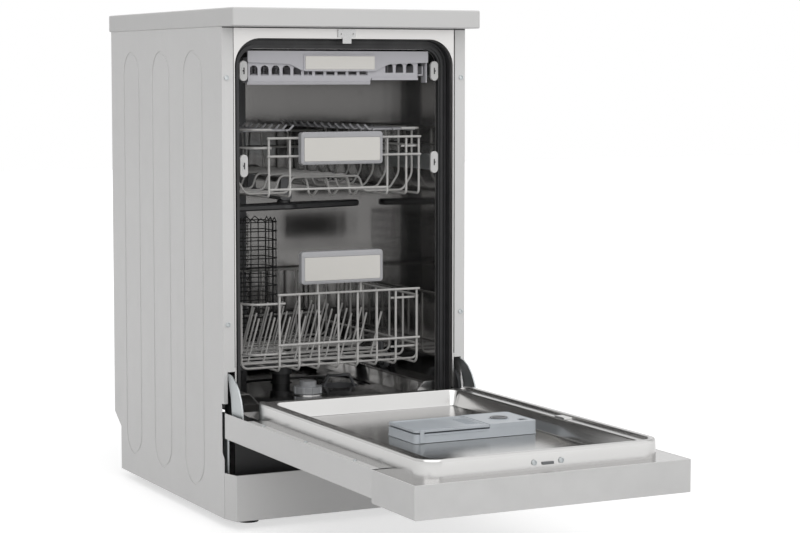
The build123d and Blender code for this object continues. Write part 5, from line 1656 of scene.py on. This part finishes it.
@dataclass
class Door(Assembly):
    """The open door: pressed liner with its rolled rim, flange, screws and softened shells.

    Each of the liner's steps is an inset's width and its rise, from the outside inwards.
    """

    half: float = 196.5
    root: float = -302.0
    tip: float = -902.0
    flange: float = 187.9
    ledge: float = 211.0
    corner: float = 34.0
    sheet: float = 1.2
    rim_width: float = 16.1
    ledge_width: float = 12.2
    rim_steps: tuple[tuple[float, float], ...] = (
        (0.4, 14.0), (0.4, 9.0), (0.5, 2.0), (1.2, 1.5), (1.8, 0.6), (4.4, 0.0), (1.8, -0.6),
        (1.2, -1.4), (0.8, -2.0), (1.4, -0.1), (2.2, 0.0))
    tray_steps: tuple[tuple[float, float], ...] = (
        (0.8, -0.5), (1.0, -1.6), (2.4, -7.0), (3.0, -10.0), (1.6, -4.6), (1.2, -1.3),
        (1.4, -0.3))
    flange_edges: tuple[tuple[float, float, float], ...] = (
        (220.7, -926.2, -345.0), (198.0, -345.0, -253.3))
    flange_inner: float = 176.0
    stop_low: tuple[float, float] = (168.0, -668.0)
    stop_high: tuple[float, float] = (183.0, -640.0)
    stop_rise: float = 2.4

    def build(self) -> None:
        """Models the liner, and rounds the edges of the door's other shells."""
        self.liner()
        for node, width in (("door_outer_panel", 1.6), ("control_panel", 1.4)):
            self.softened(node, "door", width, 3)
        for node in ("power_button", "program_button", "start_button"):
            self.softened(node, node, 0.5)
        for node in ("hinge_arms", "door_lock"):
            self.softened(node, "door", 0.5)
        self.screws("door_screws", "door")

    def liner(self) -> None:
        """Pressed steel liner: rim, wheel ledges at the sides, sloping walls and the tray."""
        work = Work("liner_pressing")
        middle, deep = (self.root + self.tip) / 2, self.root - self.tip
        about = (0.0, middle, self.ledge)
        bpy.ops.mesh.primitive_plane_add(size=MM, location=metres((0.0, middle, self.flange)))
        work.resize((2 * self.half, deep, 1.0), (0.0, middle, self.flange))
        work.bevel(self.corner, 12, corners=True)
        work.faces(lambda at, out: True)
        for width, rise in self.rim_steps:
            work.inset(width, rise)
        mouth = self.half - self.rim_width
        work.resize(((mouth - self.ledge_width) / mouth, 1.0, 1.0), about)
        for width, rise in self.tray_steps:
            work.inset(width, rise)
        work.points(lambda at: at.z > self.ledge + 0.05 and at.y > self.root - 16.5
                    and abs(at.x) < 184.0)
        work.resize((1.0, 1.0, 0.0), about)
        work.everything().thicken(self.sheet)
        self.liner_flange(work)
        self.wheel_stop(work)
        self.hand_in(work.sound(), "door", "liner_steel", "door_liner", angle=30.0)

    def liner_flange(self, work: Work) -> None:
        """Adds the flat sheet round the pressing, which is narrower between the hinges.

        Args:
            work: The liner on the bench.
        """
        low, top, inner = self.flange - self.sheet, self.flange, self.flange_inner
        for side in (-1, 1):
            for near, first, last in self.flange_edges:
                left, right = sorted((side * inner, side * near))
                work.block((left, first, low), (right, last, top))
        outer, hinge_end = self.flange_edges[0][1], self.flange_edges[1][2]
        work.block((-inner, outer, low), (inner, self.tip + 20.0, top))
        work.block((-inner, self.root - 20.0, low), (inner, hinge_end, top))

    def wheel_stop(self, work: Work) -> None:
        """Adds the low bump on the right ledge that stops the rack's wheel.

        Args:
            work: The liner on the bench.
        """
        top = self.ledge + self.stop_rise
        (left, first), (right, last) = self.stop_low, self.stop_high
        work.block((left, first, self.ledge - 0.5), (right, last, top))
        work.edges(lambda a, b: min(a.z, b.z) > top - 0.1 and max(a.y, b.y) < last + 1
                   and left - 1 < min(a.x, b.x) and max(a.x, b.x) < right + 1).bevel(1.8, 3)


@dataclass
class Cabinet(Assembly):
    """Worktop, side panels, kick plate, screws and black strips of painted shadow in the gaps."""

    half: float = 221.8
    front: float = -248.5
    back: float = -246.6
    top: float = 815.0
    # Painted shadow: how far across the black strips beside the tub's frame reach, and their foot.
    seam: tuple[float, float] = (201.9, 202.8)
    seam_foot: float = 262.0

    def build(self) -> None:
        """Rounds the shells' edges and models the screws."""
        self.softened("worktop", "cabinet", 3.0, 4)
        for side in Side:
            self.softened(f"side_panel_{side.word}", "cabinet", 0.35, 2)
        self.softened("kick_plate", "cabinet", 1.5, 3)
        self.screws("cabinet_screws", "cabinet")
        self.seams()

    def seams(self) -> None:
        """Black strips of painted shadow in the gaps under the worktop and beside the tub's frame.
        """
        work = Work("panel_seams")
        # Painted shadow: a black strip under the worktop's front, and one beside each side of the
        # tub's frame.
        work.block((-self.half, self.front, self.top - 1.8), (self.half, self.back, self.top))
        work.facing("y", -1).inset(0.4, 0.1)
        for side in Side:
            left, right = sorted(side.value * x for x in self.seam)
            work.block((left, self.front + 0.2, self.seam_foot),
                       (right, self.back, self.top - 1.6))
        self.hand_in(work.soften(0.15, 1, 40.0).sound(), "cabinet", "black_plastic")


@dataclass
class Wash(Assembly):
    """Spray arms, salt cap, filter cup, glides and the tub's floor."""

    arms: tuple[str, ...] = ("lower_spray_arm", "upper_spray_arm")
    mouldings: tuple[tuple[str, str, float, int], ...] = (
        ("salt_cap", "salt_cap", 0.8, 3), ("filter_cup", "filter_cup", 0.4, 2),
        ("wall_glides", "cabinet", 0.6, 2), ("tub_floor", "cabinet", 1.0, 2))

    def build(self) -> None:
        """Rounds the edges of each moulding."""
        for arm in self.arms:
            self.softened(arm, arm, 1.0, 3, 20.0)
        for node, body, width, steps in self.mouldings:
            self.softened(node, body, width, steps)


# Studio


@dataclass(frozen=True)
class Lamp:
    """A soft rectangular lamp; places and sizes are in metres, its power in watts."""

    name: str
    at: Point
    towards: Point
    size: tuple[float, float]
    power: float

    def light(self) -> None:
        """Puts the lamp into the scene and turns it to what it lights."""
        data = bpy.data.lights.new(self.name, "AREA")
        data.shape = "RECTANGLE"
        data.size, data.size_y = self.size
        data.energy = self.power
        holder = bpy.data.objects.new(self.name, data)
        holder.location = self.at
        aim = Vector(self.towards) - Vector(self.at)
        holder.rotation_euler = aim.to_track_quat("-Z", "Y").to_euler()
        bpy.context.scene.collection.objects.link(holder)


LAMPS = (
    Lamp("key_lamp", (-2.1, -3.3, 3.0), (0.0, -0.1, 0.4), (6.0, 4.6), 112.0),
    Lamp("fill_lamp", (2.6, -3.2, 1.8), (0.0, -0.2, 0.3), (5.6, 5.0), 38.0),
    Lamp("top_lamp", (0.2, -0.6, 3.2), (0.0, -0.2, 0.4), (3.6, 3.6), 26.0),
)


@dataclass
class Studio:
    """Camera, lamps, white surroundings and floor; the camera stands where the picture's did."""

    camera_at: Point = (-1.50728, -3.42906, 0.74143)
    elevation: float = 4.25
    azimuth: float = -26.785
    focal_px: float = 2120.387
    image_width: float = 800.0
    shift_y: float = -0.0456
    sensor: float = 36.0
    far_clip: float = 60.0
    sky: float = 0.40
    floor_side: float = 24.0
    floor_shades: tuple[float, float] = (0.50, 0.53)
    lift: tuple[float, float] = (0.62, 0.9)
    lift_reach: tuple[float, float] = (0.5, 3.0)

    def camera(self) -> None:
        """Puts the camera where the photograph was taken from."""
        data = bpy.data.cameras.new("camera")
        data.sensor_width = self.sensor
        data.lens = self.focal_px * self.sensor / self.image_width
        data.shift_y = self.shift_y
        data.clip_end = self.far_clip
        holder = bpy.data.objects.new("camera", data)
        holder.location = self.camera_at
        holder.rotation_euler = (math.radians(90.0 - self.elevation), 0.0,
                                 math.radians(self.azimuth))
        bpy.context.scene.collection.objects.link(holder)
        bpy.context.scene.camera = holder

    def surroundings(self) -> None:
        """A white world to the camera and to reflections, dimmer as a light."""
        world = bpy.data.worlds.new("surroundings")
        world.use_nodes = True
        bpy.context.scene.world = world
        nodes = Nodes(world.node_tree)
        seen = nodes.ray("Camera").larger(nodes.ray("Glossy").larger(nodes.ray("Transmission")))
        strength = nodes.node("ShaderNodeMapRange", {},
                              {"Value": seen, "To Min": self.sky, "To Max": 1.0}, "Result")
        back = nodes.tree.nodes["Background"]
        nodes.fill(back.inputs["Color"], WHITE)
        nodes.fill(back.inputs["Strength"], strength)

    def floor(self) -> None:
        """A plain pale floor that keeps the machine's shadow and fades to white far away."""
        bpy.ops.object.select_all(action="DESELECT")
        bpy.ops.mesh.primitive_plane_add(size=self.floor_side)
        floor = bpy.context.object
        floor.name = "floor"
        shader = Shader("pale_floor")
        dark, light = self.floor_shades
        base = shader.mix(shader.spread(shader.noise(3.0), 0.0, 1.0), (dark,) * 3, (light,) * 3)
        seen = shader.ray("Camera") + shader.ray("Glossy") + shader.ray("Transmission")
        away = shader.node("ShaderNodeVectorMath", {"operation": "LENGTH"},
                           {0: shader.place()}, "Value")
        lift = shader.node("ShaderNodeMapRange", {"clamp": True},
                           {"Value": away, "From Min": self.lift_reach[0],
                            "From Max": self.lift_reach[1], "To Min": self.lift[0],
                            "To Max": self.lift[1]})
        shader.set(Base_Color=base, Roughness=0.7,
                   Emission_Color=shader.scaled(WHITE, lift * seen), Emission_Strength=1.0)
        floor.data.materials.append(shader.material)

    def build(self) -> None:
        """Sets the whole studio up."""
        bpy.context.scene.view_settings.view_transform = "Standard"
        self.camera()
        self.surroundings()
        self.floor()
        for lamp in LAMPS:
            lamp.light()


def main() -> None:
    """Builds the looks, piece by piece."""
    logging.basicConfig(level=logging.INFO, format="%(message)s")
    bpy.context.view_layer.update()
    palette = Palette(FINISHES)
    for node in frame["nodes"].values():
        palette.dress_node(node)
    LOG.info("%d CAD nodes dressed", len(frame["nodes"]))
    for assembly in (Cabinet(palette), Door(palette), Dispenser(palette), LowerRack(palette),
                     UpperRack(palette), CutleryTray(palette), RailCaps(palette), Wash(palette)):
        assembly.build()
    Studio().build()


if __name__ == "__main__":
    main()
